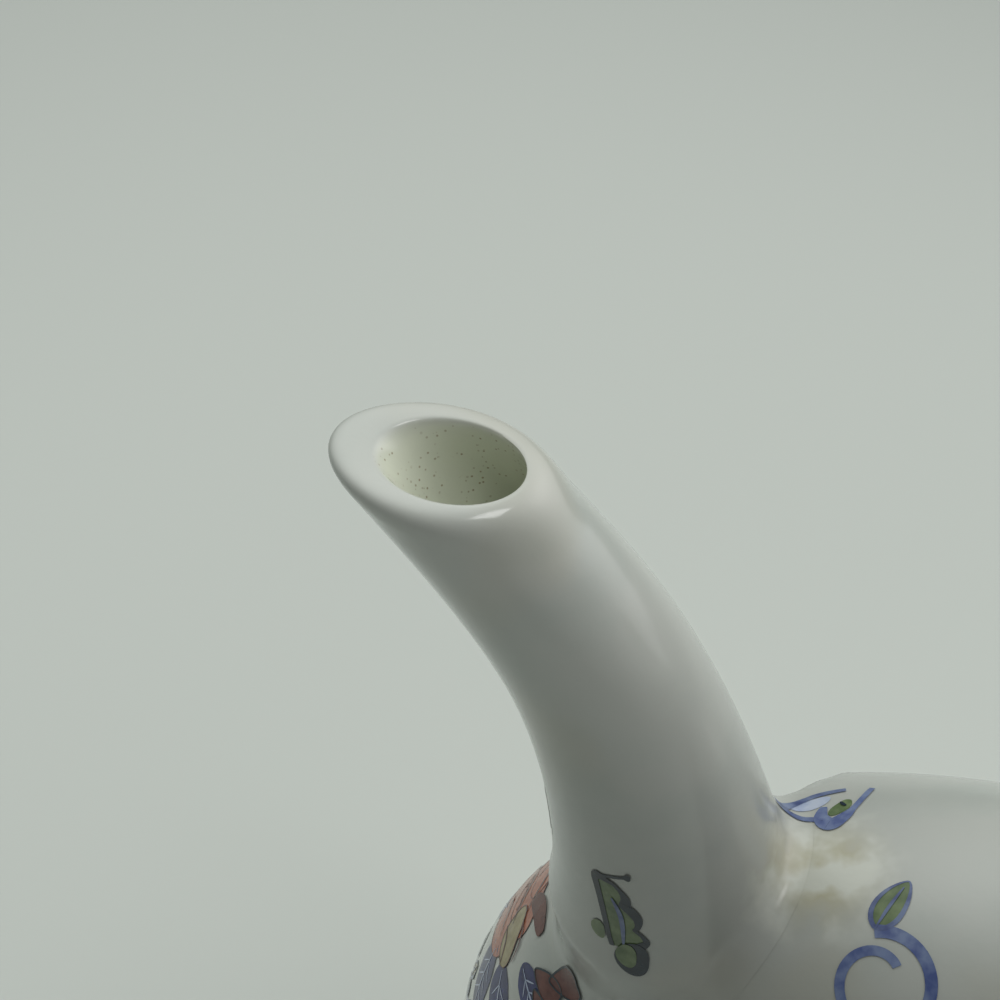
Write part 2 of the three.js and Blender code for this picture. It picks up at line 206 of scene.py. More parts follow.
class GlazeTones:
    """The node group that varies a glaze's colour and surface over the pot."""

    NAME = "glaze_tones"
    SOCKETS = (
        ("INPUT", "NodeSocketColor", ("Glaze", "Pooled", "Warm")),
        ("INPUT", "NodeSocketFloat", ("Warm Amount", "Roughness")),
        ("OUTPUT", "NodeSocketColor", ("Color",)),
        ("OUTPUT", "NodeSocketFloat", ("Roughness", "Height")),
    )
    # Scale and detail of each noise, then the range of it in which a tone shows.
    POOLS, POOL_RANGE = (95.0, 3.0), (0.42, 0.70)
    PATCHES, PATCH_RANGE = (46.0, 2.0), (0.54, 0.66)
    DUST, SCUFF = (420.0, 4.0), 0.07
    WAVES, GRAIN, WAVE_OVER_GRAIN = (150.0, 1.0), (1500.0, 1.0), 5.0

    @classmethod
    def get(cls) -> bpy.types.NodeTree:
        """Return the node group, made on first use."""
        return bpy.data.node_groups.get(cls.NAME) or cls._make()

    @classmethod
    def _make(cls) -> bpy.types.NodeTree:
        """Build the node group.

        Returns:
            The group, which puts out a colour, a roughness and a height.
        """
        group = bpy.data.node_groups.new(cls.NAME, "ShaderNodeTree")
        for way, kind, names in cls.SOCKETS:
            for name in names:
                group.interface.new_socket(name, in_out=way, socket_type=kind)
        wiring = Wiring(group)
        given = wiring.add("NodeGroupInput").outputs
        pool = wiring.ranged(wiring.noise(*cls.POOLS), *cls.POOL_RANGE, smooth=True)
        patch = wiring.ranged(wiring.noise(*cls.PATCHES), *cls.PATCH_RANGE, smooth=True)
        pooled = wiring.blend(pool, given["Glaze"], given["Pooled"])
        warmth = wiring.number("MULTIPLY", patch, given["Warm Amount"])
        dust, waves, grain = (wiring.noise(*kind) for kind in (cls.DUST, cls.WAVES, cls.GRAIN))
        wiring.add("NodeGroupOutput", {
            "Color": wiring.blend(warmth, pooled, given["Warm"]),
            "Roughness": wiring.number("MULTIPLY_ADD", dust, cls.SCUFF, given["Roughness"]),
            "Height": wiring.number("MULTIPLY_ADD", waves, cls.WAVE_OVER_GRAIN, grain),
        })
        return group


@dataclass(frozen=True)
class GlazeFinish:
    """Clear glaze on white porcelain, with slight pooling and warm patches."""

    name: str
    glaze: Rgba
    pooled: Rgba
    warm: Rgba
    warm_amount: float
    roughness: float
    coat: float
    # The bore's lining colour: a cream tone drawn paler than the glaze, as painted light inside the bore.
    lining: Rgba | None = None
    bare: Rgba | None = None
    index: float = 1.5
    coat_roughness: float = 0.09
    bump_strength: float = 0.10
    bump_depth: float = 0.12 * MM
    speck: Rgba = srgb(164, 154, 126)
    speck_scale: float = 2000.0
    bare_edge: tuple[float, float] = (0.5 * MM, 0.9 * MM)
    # cast is the colour multiplied into the glaze as painted shade round a joint; the reach after it gives where that
    # shade starts and where it is full.
    cast: Rgba = (0.74, 0.735, 0.74, 1.0)
    painted_shade_reach: tuple[float, float] = (50.0 * MM, 11.0 * MM)
    creams: tuple[Rgba, Rgba] = (srgb(196, 198, 188), srgb(172, 168, 144))
    cream_reach: tuple[float, float] = (12.0 * MM, 6.5 * MM)
    cream_fray: float = 9.0 * MM

    def make(self, root: Vector | None = None, patch: Vector | None = None) -> Material:
        """Build the material.

        Args:
            root: Middle of the painted shade round a joint, where the glaze is drawn darker and duller, if there is
                one.
            patch: Middle of a matt creamy patch in the glaze, if there is one.

        Returns:
            A node material on object coordinates.
        """
        material, wiring = Wiring.start(self.name + ("_stained" if patch else ""), {
            "IOR": self.index, "Coat Weight": self.coat, "Coat Roughness": self.coat_roughness,
            "Coat IOR": self.index,
        })
        tones = wiring.add("ShaderNodeGroup", {
            "Glaze": self.glaze, "Pooled": self.pooled, "Warm": self.warm, "Warm Amount": self.warm_amount,
            "Roughness": self.roughness,
        }, node_tree=GlazeTones.get()).outputs
        colour = tones["Color"]
        if self.lining:
            colour = self._lining_with_painted_light(wiring, colour)
        if self.bare:
            height = wiring.add("ShaderNodeSeparateXYZ", {"Vector": wiring.coords["Object"]}).outputs["Z"]
            colour = wiring.blend(wiring.ranged(height, *self.bare_edge), self.bare, colour)
        wiring.feed("Roughness", tones["Roughness"])
        if patch:
            colour = self._creamy(wiring, self._painted_shade_round_joint(wiring, colour, root), patch)
        wiring.feed("Base Color", colour)
        relief = {"Strength": self.bump_strength, "Distance": self.bump_depth, "Height": tones["Height"]}
        wiring.feed("Normal", wiring.add("ShaderNodeBump", relief).outputs["Normal"])
        return material

    def _lining_with_painted_light(self, wiring: Wiring, colour: Socket) -> Socket:
        """Add the thinly glazed, speckled lining of a bore, drawn paler than the glaze as painted light that brightens
        the inside of the bore.

        Args:
            wiring: The material's nodes.
            colour: The outside's colour.

        Returns:
            The colour with the lining.
        """
        where = wiring.add("ShaderNodeAttribute", attribute_name="lining").outputs["Fac"]
        inputs = {"Vector": wiring.coords["Object"], "Scale": self.speck_scale}
        specks = wiring.ranged(wiring.add("ShaderNodeTexVoronoi", inputs).outputs["Distance"], 0.10, 0.24)
        spared = wiring.ranged(wiring.noise(scale=420.0, detail=5.0), 0.56, 0.47)
        dotted = wiring.blend(wiring.number("MAXIMUM", specks, spared), self.speck, self.lining)
        return wiring.blend(where, colour, dotted)

    @staticmethod
    def _dulled(wiring: Wiring, mask: Socket, changes: dict[str, float]) -> None:
        """Change the shader's values where a mask says so."""
        for name, full in changes.items():
            socket = wiring.shader.inputs[name]
            before = socket.links[0].from_socket if socket.is_linked else socket.default_value
            wiring.feed(name, wiring.number("MULTIPLY_ADD", mask, full, before))

    def _painted_shade_round_joint(self, wiring: Wiring, colour: Socket, middle: Vector) -> Socket:
        """Paint shade round a joint: the glaze's colour is darkened there and its gloss dulled.

        Args:
            wiring: The material's nodes.
            colour: The glaze's colour.
            middle: The joint's middle.

        Returns:
            The colour with the painted shade.
        """
        away = wiring.vector("DISTANCE", wiring.coords["Object"], middle)
        near = wiring.ranged(away, *self.painted_shade_reach, smooth=True)
        self._dulled(wiring, near, {"Coat Weight": -0.45, "Roughness": 0.06})
        # Painted shade: the glaze's colour is multiplied darker near the joint.
        return wiring.blend(near, colour, self.cast, "MULTIPLY")

    def _creamy(self, wiring: Wiring, colour: Socket, middle: Vector) -> Socket:
        """Add a mottled creamy patch with less gloss.

        Args:
            wiring: The material's nodes.
            colour: The glaze's colour.
            middle: The patch's middle.

        Returns:
            The colour with the patch.
        """
        cloud = wiring.noise(scale=210.0, detail=3.0)
        away = wiring.vector("DISTANCE", wiring.coords["Object"], middle)
        ragged = wiring.number("MULTIPLY_ADD", cloud, self.cream_fray, away)
        near = wiring.ranged(ragged, *self.cream_reach, smooth=True)
        self._dulled(wiring, near, {"Coat Weight": -0.15})
        return wiring.blend(near, colour, wiring.blend(wiring.ranged(cloud, 0.42, 0.58), *self.creams))


@dataclass(frozen=True)
class EnamelFinish:
    """A painted colour under or on the glaze, denser where the brush rested."""

    name: str
    thin: Rgba
    dense: Rgba
    roughness: float
    grain: float = 700.0
    coat: float = 0.1
    gloss: float = 0.36
    coat_roughness: float = 0.09

    def make(self) -> Material:
        """Build the material.

        Returns:
            A node material on object coordinates.
        """
        material, wiring = Wiring.start(self.name, {
            "Roughness": self.roughness, "Coat Weight": self.coat, "Specular IOR Level": self.gloss,
            "Coat Roughness": self.coat_roughness,
        })
        rested = wiring.ranged(wiring.noise(self.grain, detail=3.0), 0.35, 0.68)
        wiring.feed("Base Color", wiring.blend(rested, self.thin, self.dense))
        return material


# The lining is paler than the outside glaze: painted light that brightens the inside of the bore.
PORCELAIN = GlazeFinish(
    "porcelain_glaze", srgb(190, 193, 186), srgb(183, 188, 181), srgb(189, 186, 170), 0.35, 0.14, 0.6,
    lining=srgb(220, 224, 206), bare=srgb(206, 188, 150),
)
BISCUIT = GlazeFinish(
    "cream_clay", srgb(206, 200, 174), srgb(192, 184, 156), srgb(182, 166, 130), 0.8, 0.42, 0.05,
)


class Enamel(Enum):
    """The painter's colours."""

    BLUE_LINE = EnamelFinish("cobalt_line", srgb(104, 118, 150), srgb(62, 74, 118), 0.12)
    BLUE = EnamelFinish("cobalt_wash", srgb(112, 126, 158), srgb(70, 84, 132), 0.12)
    DEEP_BLUE = EnamelFinish("deep_cobalt", srgb(42, 50, 102), srgb(24, 30, 74), 0.14)
    LILAC = EnamelFinish("pale_cobalt", srgb(176, 184, 200), srgb(152, 164, 190), 0.12)
    TEAL = EnamelFinish("green_black_line", srgb(28, 44, 56), srgb(12, 26, 38), 0.14)
    RED = EnamelFinish("iron_red", srgb(172, 112, 88), srgb(146, 78, 58), 0.18)
    DARK_RED = EnamelFinish("brown_red", srgb(100, 58, 50), srgb(72, 32, 30), 0.18)
    YELLOW = EnamelFinish("olive_yellow", srgb(154, 144, 108), srgb(130, 116, 78), 0.14)
    GREEN = EnamelFinish("leaf_green", srgb(106, 122, 84), srgb(74, 94, 56), 0.14)


# Modelling helpers


def eased(value: float, low: float = 0.0, high: float = 1.0) -> float:
    """How far a value has passed smoothly from low to high, from 0 to 1."""
    share = min(max((value - low) / (high - low), 0.0), 1.0)
    return share * share * (3 - 2 * share)


def bezier(start: Vector, pull_start: Vector, pull_stop: Vector, stop: Vector, t: float) -> Vector:
    """Point of a Bezier curve at a parameter from 0 to 1."""
    s = 1 - t
    return start * s ** 3 + pull_start * 3 * s * s * t + pull_stop * 3 * s * t * t + stop * t ** 3


def turns(count: int) -> list[float]:
    """Even angles round a full turn."""
    return [math.tau * k / count for k in range(count)]


def closed_in(low: float, high: float, past: Callable[[float], bool]) -> tuple[float, float]:
    """Halve a range of heights again and again round the place past which something holds.

    Args:
        low: The lower height.
        high: The upper height.
        past: Whether it holds at a height.

    Returns:
        The narrowed range.
    """
    for _ in range(HALVINGS):
        middle = (low + high) / 2
        low, high = (low, middle) if past(middle) else (middle, high)
    return low, high


def across_lines(lines: Sequence[Sequence[Vector]]) -> list[Ring]:
    """The rings that run across lines of equal count."""
    return [list(ring) for ring in zip(*lines)]


class Loft:
    """A skin drawn through rings of equal count."""

    def __init__(self, rings: Sequence[Ring], closed: bool) -> None:
        """Build the skin.

        Args:
            rings: The rings in order, each a list of points.
            closed: True joins the last ring to the first, False caps both ends.
        """
        self.mesh = bmesh.new()
        self.lining = self.mesh.verts.layers.float.new("lining")
        self.rings: list[list[bmesh.types.BMVert]] = []
        first = bmesh.ops.create_circle(self.mesh, segments=len(rings[0]), radius=1.0)["verts"]
        self._place(first, rings[0])
        for points in rings[1:]:
            self._extend(points)
        if closed:
            self._join_ends()
        else:
            for ring in (self.rings[0], self.rings[-1]):
                self.mesh.faces.new(ring)
        bmesh.ops.recalc_face_normals(self.mesh, faces=self.mesh.faces)

    def _place(self, verts: list[bmesh.types.BMVert], points: Ring) -> None:
        """Move a ring of vertices onto its points."""
        for vert, point in zip(verts, points):
            vert.co = point
        self.rings.append(verts)

    def _extend(self, points: Ring) -> None:
        """Extrude the last ring to new points."""
        last = self.rings[-1]
        edges = [self.mesh.edges.get((last[i - 1], last[i])) for i in range(len(last))]
        made = bmesh.ops.extrude_edge_only(self.mesh, edges=edges)["geom"]
        fresh = {item for item in made if isinstance(item, bmesh.types.BMVert)}
        verts = [next(e.other_vert(v) for e in v.link_edges if e.other_vert(v) in fresh) for v in last]
        self._place(verts, points)

    def _join_ends(self) -> None:
        """Bridge the last ring to the first."""
        edges = []
        for ring in (self.rings[0], self.rings[-1]):
            edges += [self.mesh.edges.get((ring[i - 1], ring[i])) for i in range(len(ring))]
        bmesh.ops.bridge_loops(self.mesh, edges=edges)

    def mark_lining(self, shares: Iterable[float]) -> None:
        """Set how far each ring belongs to the bore's lining, from 0 to 1."""
        for ring, share in zip(self.rings, shares):
            for vert in ring:
                vert[self.lining] = share


def turned(profile: Sequence[tuple[float, float]], centre: Vector, steps: int = 112) -> Mesh:
    """Spin a closed profile about an upright axis.

    Args:
        profile: Radius and height pairs, the last meeting the first.
        centre: A point on the axis at height 0.
        steps: How many faces go round.

    Returns:
        The closed mesh.
    """
    mesh = bmesh.new()
    verts = [mesh.verts.new(centre + Vector((radius, 0.0, height))) for radius, height in profile]
    edges = [mesh.edges.new((verts[i - 1], verts[i])) for i in range(len(verts))]
    bmesh.ops.spin(
        mesh, geom=verts + edges, cent=centre, axis=UP, angle=math.tau, steps=steps,
        use_merge=True, use_duplicate=False,
    )
    bmesh.ops.remove_doubles(mesh, verts=mesh.verts, dist=DOUBLES)
    bmesh.ops.recalc_face_normals(mesh, faces=mesh.faces)
    return mesh


def arc(cx: float, cz: float, radius: float, start: float, stop: float, steps: int) -> list[tuple[float, float]]:
    """Points of an arc in a profile, from one angle in degrees to another."""
    angles = [math.radians(start + (stop - start) * i / steps) for i in range(steps + 1)]
    return [(cx + radius * math.cos(a), cz + radius * math.sin(a)) for a in angles]


def as_object(name: str, mesh: Mesh) -> Piece:
    """Put a mesh into the scene as an object, and free it.

    Args:
        name: The object's name.
        mesh: Its mesh.

    Returns:
        The object.
    """
    data = bpy.data.meshes.new(name)
    mesh.to_mesh(data)
    mesh.free()
    made = bpy.data.objects.new(name, data)
    bpy.context.scene.collection.objects.link(made)
    return made


def shade(data: bpy.types.Mesh) -> None:
    """Shade a mesh smooth up to its sharp edges."""
    data.shade_smooth()
    data.set_sharp_from_angle(angle=math.radians(SHARP_FROM))


def add_piece(
    name: str, mesh: Mesh, body: Body, slot: Slot, nodes: Sequence[str] = (),
) -> Piece:
    """Turn a mesh into a smooth piece that rides on a body.

    Args:
        name: The piece's name.
        mesh: Its mesh, which is freed.
        body: The body that it moves with.
        slot: The record's slot for its finish; not used.
        nodes: The CAD nodes that it stands for.

    Returns:
        The new object.
    """
    piece = as_object(name, mesh)
    shade(piece.data)
    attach(piece, body.value)
    if nodes:
        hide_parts(*nodes)
    LOG.info("%s: %d faces on %s", name, len(piece.data.polygons), body.value)
    return piece


def cut_away(piece: Piece, cutters: Sequence[Mesh]) -> None:
    """Cut holes in a piece and keep the result as its mesh.

    Args:
        piece: The piece to cut.
        cutters: Closed meshes, which are freed.
    """
    helpers = []
    for i, mesh in enumerate(cutters):
        helper = as_object(f"cutter_{i}", mesh)
        cut = piece.modifiers.new(helper.name, "BOOLEAN")
        cut.operation, cut.solver, cut.object = "DIFFERENCE", "EXACT", helper
        helpers.append(helper)
    graph = bpy.context.evaluated_depsgraph_get()
    result = bpy.data.meshes.new_from_object(piece.evaluated_get(graph))
    piece.modifiers.clear()
    old, piece.data = piece.data, result
    result.name = piece.name
    bpy.data.meshes.remove(old)
    shade(result)
    for helper in helpers:
        bpy.data.meshes.remove(helper.data)


# Forms


@dataclass(frozen=True)
class RingForm:
    """The ring's torus, drawn in a little on both sides of the spout's root."""

    centre: Vector
    sweep: float
    tube: float
    hollow: float = 3.8 * MM
    near_share: float = 0.4
    hollow_around: tuple[float, float, float, float] = (128.0, 139.0, 146.0, 160.0)
    hollow_across: tuple[float, float, float, float] = (18.0, 44.0, 60.0, 92.0)

    @classmethod
    def from_nodes(cls) -> "RingForm":
        """Read the torus from the CAD ring's box."""
        low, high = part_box("ring_rear")
        outer = (high[0] - low[0]) / 2
        return cls(Vector(((low[0] + high[0]) / 2, 0.0, low[2] + outer)), outer - high[1], high[1])

    @property
    def outer(self) -> float:
        """The ring's outer radius."""
        return self.sweep + self.tube

    @property
    def top(self) -> float:
        """Height of the ring's highest point."""
        return self.centre.z + self.outer

    def beside_axis(self, way: Vector, radius: float, height: float) -> Vector:
        """A point at a radius and height in a direction from the upright axis."""
        return Vector((self.centre.x, 0.0, height)) + way * radius

    def drawn_in(self, around: float, across: float) -> float:
        """How far the ring lies inside its torus beside the spout.

        Args:
            around: Angle round the ring in radians.
            across: Angle round the tube in radians.

        Returns:
            The depth of the hollow.
        """
        full = self.hollow if across > 0 else self.near_share * self.hollow
        for angle, (start, deep, rising, stop) in (
            (math.degrees(around), self.hollow_around), (abs(math.degrees(across)), self.hollow_across),
        ):
            full *= eased(angle, start, deep) * (1 - eased(angle, rising, stop))
        return full

    def depth(self, point: Vector) -> float:
        """Distance of a point outside the ring, negative inside."""
        local = point - self.centre
        reach = math.hypot(local.x, local.z) - self.sweep
        inset = self.drawn_in(math.atan2(local.z, local.x), math.atan2(local.y, reach))
        return math.hypot(reach, local.y) - self.tube + inset

    def surface(self, around: float, across: float, lift: float = 0.0) -> tuple[Vector, Vector]:
        """Find a point on the ring.

        Args:
            around: Angle round the ring from +X, in radians.
            across: Angle round the tube from the outer rim, in radians.
            lift: Height above the surface.

        Returns:
            The point and the surface's normal.
        """
        normal = Vector((
            math.cos(across) * math.cos(around), math.sin(across), math.cos(across) * math.sin(around),
        ))
        spine = self.centre + Vector((math.cos(around), 0.0, math.sin(around))) * self.sweep
        return spine + normal * (self.tube + lift - self.drawn_in(around, across)), normal

    def nearest(self, point: Vector, lift: float = 0.0) -> tuple[Vector, Vector]:
        """Find the point of the ring nearest to another, and the normal there.

        Args:
            point: The point.
            lift: Height above the surface.

        Returns:
            The point and the normal.
        """
        local = point - self.centre
        around = math.atan2(local.z, local.x)
        across = math.atan2(local.y, math.hypot(local.x, local.z) - self.sweep)
        return self.surface(around, across, lift)


class Course:
    """A Bezier curve with an even step along its length."""

    def __init__(self, start: Vector, pull_start: Vector, pull_stop: Vector, stop: Vector, samples: int = 240) -> None:
        """Sample the curve.

        Args:
            start: First point.
            pull_start: Control point after it.
            pull_stop: Control point before the last point.
            stop: Last point.
            samples: How many pieces it is measured in.
        """
        self.points = [bezier(start, pull_start, pull_stop, stop, i / samples) for i in range(samples + 1)]
        self.marks = [0.0]
        for a, b in zip(self.points, self.points[1:]):
            self.marks.append(self.marks[-1] + (b - a).length)
        self.length = self.marks[-1]

    def at(self, share: float) -> tuple[Vector, Vector]:
        """Point and direction at a share of the length."""
        goal = min(max(share, 0.0), 1.0) * self.length
        low = max(i for i, mark in enumerate(self.marks[:-1]) if mark <= goal + 1e-12)
        span = self.marks[low + 1] - self.marks[low]
        a, b = self.points[low], self.points[low + 1]
        before, after = self.points[max(low - 1, 0)], self.points[min(low + 2, len(self.points) - 1)]
        return a.lerp(b, (goal - self.marks[low]) / span), (after - before).normalized()


def even_line(line: Sequence[Vector], stop: float, count: int) -> list[Vector]:
    """Points at even steps along a polyline.

    Args:
        line: The polyline.
        stop: Length at which to end.
        count: How many points.

    Returns:
        The points, from the line's start to that length.
    """
    marks = [0.0]
    for a, b in zip(line, line[1:]):
        marks.append(marks[-1] + (b - a).length)
    points, k = [], 0
    for i in range(count):
        goal = stop * i / (count - 1)
        while k < len(line) - 2 and marks[k + 1] < goal:
            k += 1
        span = max(marks[k + 1] - marks[k], 1e-12)
        points.append(line[k].lerp(line[k + 1], (goal - marks[k]) / span))
    return points


@dataclass(frozen=True)
class Luting:
    """The smooth slip fillet that joins a piece to the ring."""

    form: RingForm
    middle: Vector
    along: float
    onto: float
    steps: int = 10
    lift: float = 0.02 * MM
    fullness: float = 0.62

    def finish(self, line: Sequence[Vector], count: int) -> list[Vector]:
        """End a meridian of a piece in a fillet on the ring.

        Args:
            line: The meridian, from outside the ring to inside it.
            count: How many points come before the fillet.

        Returns:
            The meridian's points up to the fillet's foot on the ring.
        """
        total = 0.0
        for a, b in zip(line, line[1:]):
            before, after = self.form.depth(a), self.form.depth(b)
            if before >= 0 > after:
                total += (b - a).length * before / (before - after)
                hit = a.lerp(b, before / (before - after))
                heading = (b - a).normalized()
                break
            total += (b - a).length
        points = even_line(line, total - self.along, count)
        start = points[-1]
        inward = (hit - start).normalized()
        normal = self.form.nearest(hit)[1]
        spread = heading - normal * heading.dot(normal)
        slope = max(0.0, -heading.dot(normal))
        outward = self._away(hit, normal)
        spread = spread * (1 - slope) + outward * slope
        spread = (spread - normal * spread.dot(normal)).normalized()
        foot, foot_normal = self.form.nearest(hit + spread * self.onto, self.lift)
        back = hit - foot
        back = (back - foot_normal * back.dot(foot_normal)).normalized()
        a_pull, b_pull = start + inward * self.along * self.fullness, foot + back * self.onto * self.fullness
        return points + [bezier(start, a_pull, b_pull, foot, i / self.steps) for i in range(1, self.steps + 1)]

    def skin(self, rings: Sequence[Ring], count: int) -> list[Ring]:
        """A loft's rings, ended in the fillet all round."""
        return across_lines([self.finish(line, count) for line in across_lines(rings)])

    def _away(self, hit: Vector, normal: Vector) -> Vector:
        """Direction along the ring that leads away from the piece's middle."""
        return (hit - self.middle - normal * (hit - self.middle).dot(normal)).normalized()


# Sub-assemblies


@dataclass
class RingBody:
    """The hollow ring itself, in one skin."""

    form: RingForm
    wall: float = 2.6 * MM
    neck_bore: float = 11.5 * MM
    throat: float = 7.2 * MM
    steps_around: int = 168
    steps_across: int = 72

    def build(self, throat_axis: tuple[Vector, Vector]) -> Piece:
        """Model the ring with its two holes.

        Args:
            throat_axis: A point and direction of the spout's throat.

        Returns:
            The ring's piece.
        """
        mesh = self._torus(self.form.tube, False)
        self._torus(self.form.tube - self.wall, True, mesh)
        piece = add_piece("ring_body", mesh, Body.POT, Slot.GLAZE, ("ring_front", "ring_rear"))
        top = Vector((self.form.centre.x, 0.0, self.form.top - self.form.tube / 2))
        point, direction = throat_axis
        cut_away(piece, [
            self._plug(top, UP, self.neck_bore, self.form.tube * 1.6),
            self._plug(point + direction * 2 * MM, direction, self.throat, 26 * MM),
        ])
        return piece

    def _torus(self, tube: float, inward: bool, mesh: Mesh | None = None) -> Mesh:
        """Spin a circle round the ring's axis, facing inwards for the hollow.

        Args:
            tube: Radius of the circle.
            inward: True faces it inwards, for the hollow.
            mesh: The mesh to add to, if there is one.

        Returns:
            The mesh.
        """
        mesh = mesh or bmesh.new()
        start = self.form.centre + Vector((self.form.sweep, 0.0, 0.0))
        circle = bmesh.ops.create_circle(
            mesh, segments=self.steps_across, radius=tube, matrix=Matrix.Translation(start),
        )["verts"]
        edges = list({edge for vert in circle for edge in vert.link_edges})
        old = set(mesh.faces)
        bmesh.ops.spin(
            mesh, geom=circle + edges, cent=self.form.centre, axis=SIDE, angle=math.tau,
            steps=self.steps_around, use_merge=True, use_duplicate=False,
        )
        bmesh.ops.remove_doubles(mesh, verts=mesh.verts, dist=DOUBLES)
        faces = [face for face in mesh.faces if face not in old]
        for vert in {vert for face in faces for vert in face.verts}:
            vert.co = self.form.nearest(vert.co, tube - self.form.tube)[0]
        bmesh.ops.recalc_face_normals(mesh, faces=faces)
        if inward:
            bmesh.ops.reverse_faces(mesh, faces=faces)
        return mesh

    @staticmethod
    def _plug(point: Vector, direction: Vector, radius: float, length: float) -> Mesh:
        """A cylinder that cuts a hole.

        Args:
            point: The cutter's middle.
            direction: The hole's direction.
            radius: The hole's radius.
            length: The cutter's length.

        Returns:
            The closed mesh.
        """
        mesh = bmesh.new()
        turn = UP.rotation_difference(direction).to_matrix().to_4x4()
        bmesh.ops.create_cone(
            mesh, cap_ends=True, segments=96, radius1=radius, radius2=radius, depth=length,
            matrix=Matrix.Translation(point) @ turn,
        )
        return mesh


@dataclass
class Spout:
    """The curved spout with its oval mouth and rounded lip."""

    form: RingForm
    root_angle: float = 139.7
    reach: float = 26.2 * MM
    rise: float = 44.15 * MM
    root_lean: float = 17.8
    tip_lean: float = 48.0
    root_pull: float = 27.0 * MM
    tip_pull: float = 13.4 * MM
    root_radius: float = 11.15 * MM
    tip_radius: float = 6.12 * MM
    waist: float = 0.47 * MM
    flare: float = 0.6 * MM
    flare_fade: float = 4.0 * MM
    bore_root: float = 7.2 * MM
    bore_tip: float = 3.9 * MM
    front_extra: float = 0.95 * MM
    lip_pull: float = 2.5 * MM
    lip_flat: float = 1.9 * MM
    edge_round: float = 0.8 * MM
    mouth_length: float = 11.6 * MM
    mouth_width: float = 8.2 * MM
    mouth_tilt: float = 9.3
    mouth_forward: float = 1.7 * MM
    mouth_rise: float = 2.7 * MM
    mouth_blend: float = 0.6
    splay: float = 1.2
    luting: tuple[float, float] = (3.0 * MM, 2.6 * MM)
    sunk: float = 20.0 * MM
    sunk_step: float = 2.0 * MM
    bore_stop: float = 0.9
    throat_pull: float = 3.2 * MM
    throat_steps: int = 14
    lip_steps: int = 22
    lining_fade: tuple[float, ...] = (0.95, 0.8, 0.5, 0.15)
    sides: int = 112
    stations: int = 84
    course: Course = field(init=False)

    def __post_init__(self) -> None:
        """Lay out the spout's centreline."""
        root = self.form.surface(math.radians(self.root_angle), 0.0)[0]
        tip = root + Vector((-self.reach, 0.0, self.rise))
        self.course = Course(
            root, root + self._leaning(self.root_lean) * self.root_pull,
            tip - self._leaning(self.tip_lean) * self.tip_pull, tip,
        )

    @staticmethod
    def _leaning(degrees: float) -> Vector:
        """Direction that leans forwards from upright."""
        return Vector((-math.sin(math.radians(degrees)), 0.0, math.cos(math.radians(degrees))))

    @property
    def throat_axis(self) -> tuple[Vector, Vector]:
        """A point and direction of the hole behind the spout."""
        return self.course.at(0.0)

    def section(self, share: float, radius: float, front_extra: float, sunk: float = 0.0) -> Ring:
        """One ring of the spout.

        Args:
            share: Share of the way from the root to the mouth.
            radius: The ring's radius across the spout.
            front_extra: Extra length of the front lip.
            sunk: How far below the root the ring lies.

        Returns:
            The ring's points.
        """
        centre, tangent = self.course.at(share)
        centre = centre - tangent * sunk
        level = eased(share, self.mouth_blend)
        normal = tangent.lerp(UP, level).normalized()
        across = SIDE.cross(normal).normalized()
        stretch = 1 / normal.dot(tangent)
        ring = []
        for angle in turns(self.sides):
            front = max(0.0, -math.cos(angle)) ** 2 * front_extra * level
            ring.append(
                centre + across * (math.cos(angle) * radius * stretch - front) + SIDE * math.sin(angle) * radius
            )
        return ring

    def outer_radius(self, share: float) -> float:
        """The outside radius at a share of the length."""
        taper = self.root_radius + (self.tip_radius - self.root_radius) * share
        flare = self.flare * math.exp(-share * self.course.length / self.flare_fade)
        return taper - 4 * self.waist * share * (1 - share) + flare

    def bore_radius(self, share: float) -> float:
        """The bore's radius at a share of the length."""
        return self.bore_root + (self.bore_tip - self.bore_root) * share

    def build(self) -> Piece:
        """Model the spout.

        Returns:
            The piece.
        """
        shares = [1 - i / self.stations for i in range(self.stations + 1)]
        outer = [self.section(s, self.outer_radius(s), self.front_extra) for s in shares]
        steps = range(1, round(self.sunk / self.sunk_step) + 1)
        outer += [self.section(0.0, self.outer_radius(0.0), 0.0, k * self.sunk_step) for k in steps]
        bores = [self.section(s, self.bore_radius(s), 0.0) for s in shares if s <= self.bore_stop]
        bores.append(self.section(0.0, self.bore_root, 0.0, self.sunk_step))
        luting = Luting(self.form, self.form.surface(math.radians(self.root_angle), 0.0)[0], *self.luting)
        skin = luting.skin(outer, self.stations)
        edge, heading = self._mouth_edge(), self._leaning(self.tip_lean)
        outward = [Vector((math.cos(a), math.sin(a) * self.splay, 0.0)).normalized() for a in turns(self.sides)]
        throat = self._eased(
            bores[0], edge, [heading * self.throat_pull] * self.sides,
            [way * -self.edge_round for way in outward], self.throat_steps,
        )
        lip = self._eased(
            edge, outer[0], [way * self.lip_flat for way in outward],
            [heading * self.lip_pull] * self.sides, self.lip_steps,
        )
        loft = Loft(bores[:0:-1] + throat[:-1] + lip[:-1] + skin, True)
        fade = [1.0] * (len(bores) + len(throat) - 2 - len(self.lining_fade)) + [*self.lining_fade]
        loft.mark_lining(fade + [0.0] * (len(loft.rings) - len(fade)))
        return add_piece("spout_glazed", loft.mesh, Body.POT, Slot.GLAZE, ("spout",))

    def _mouth_edge(self) -> Ring:
        """The bore's oval edge at the mouth.

        Returns:
            Its points.
        """
        tilt = math.radians(self.mouth_tilt)
        along = Vector((math.cos(tilt), 0.0, math.sin(tilt)))
        centre = self.course.points[-1] + Vector((-self.mouth_forward, 0.0, self.mouth_rise))
        return [
            centre + along * math.cos(a) * self.mouth_length / 2 + SIDE * math.sin(a) * self.mouth_width / 2
            for a in turns(self.sides)
        ]

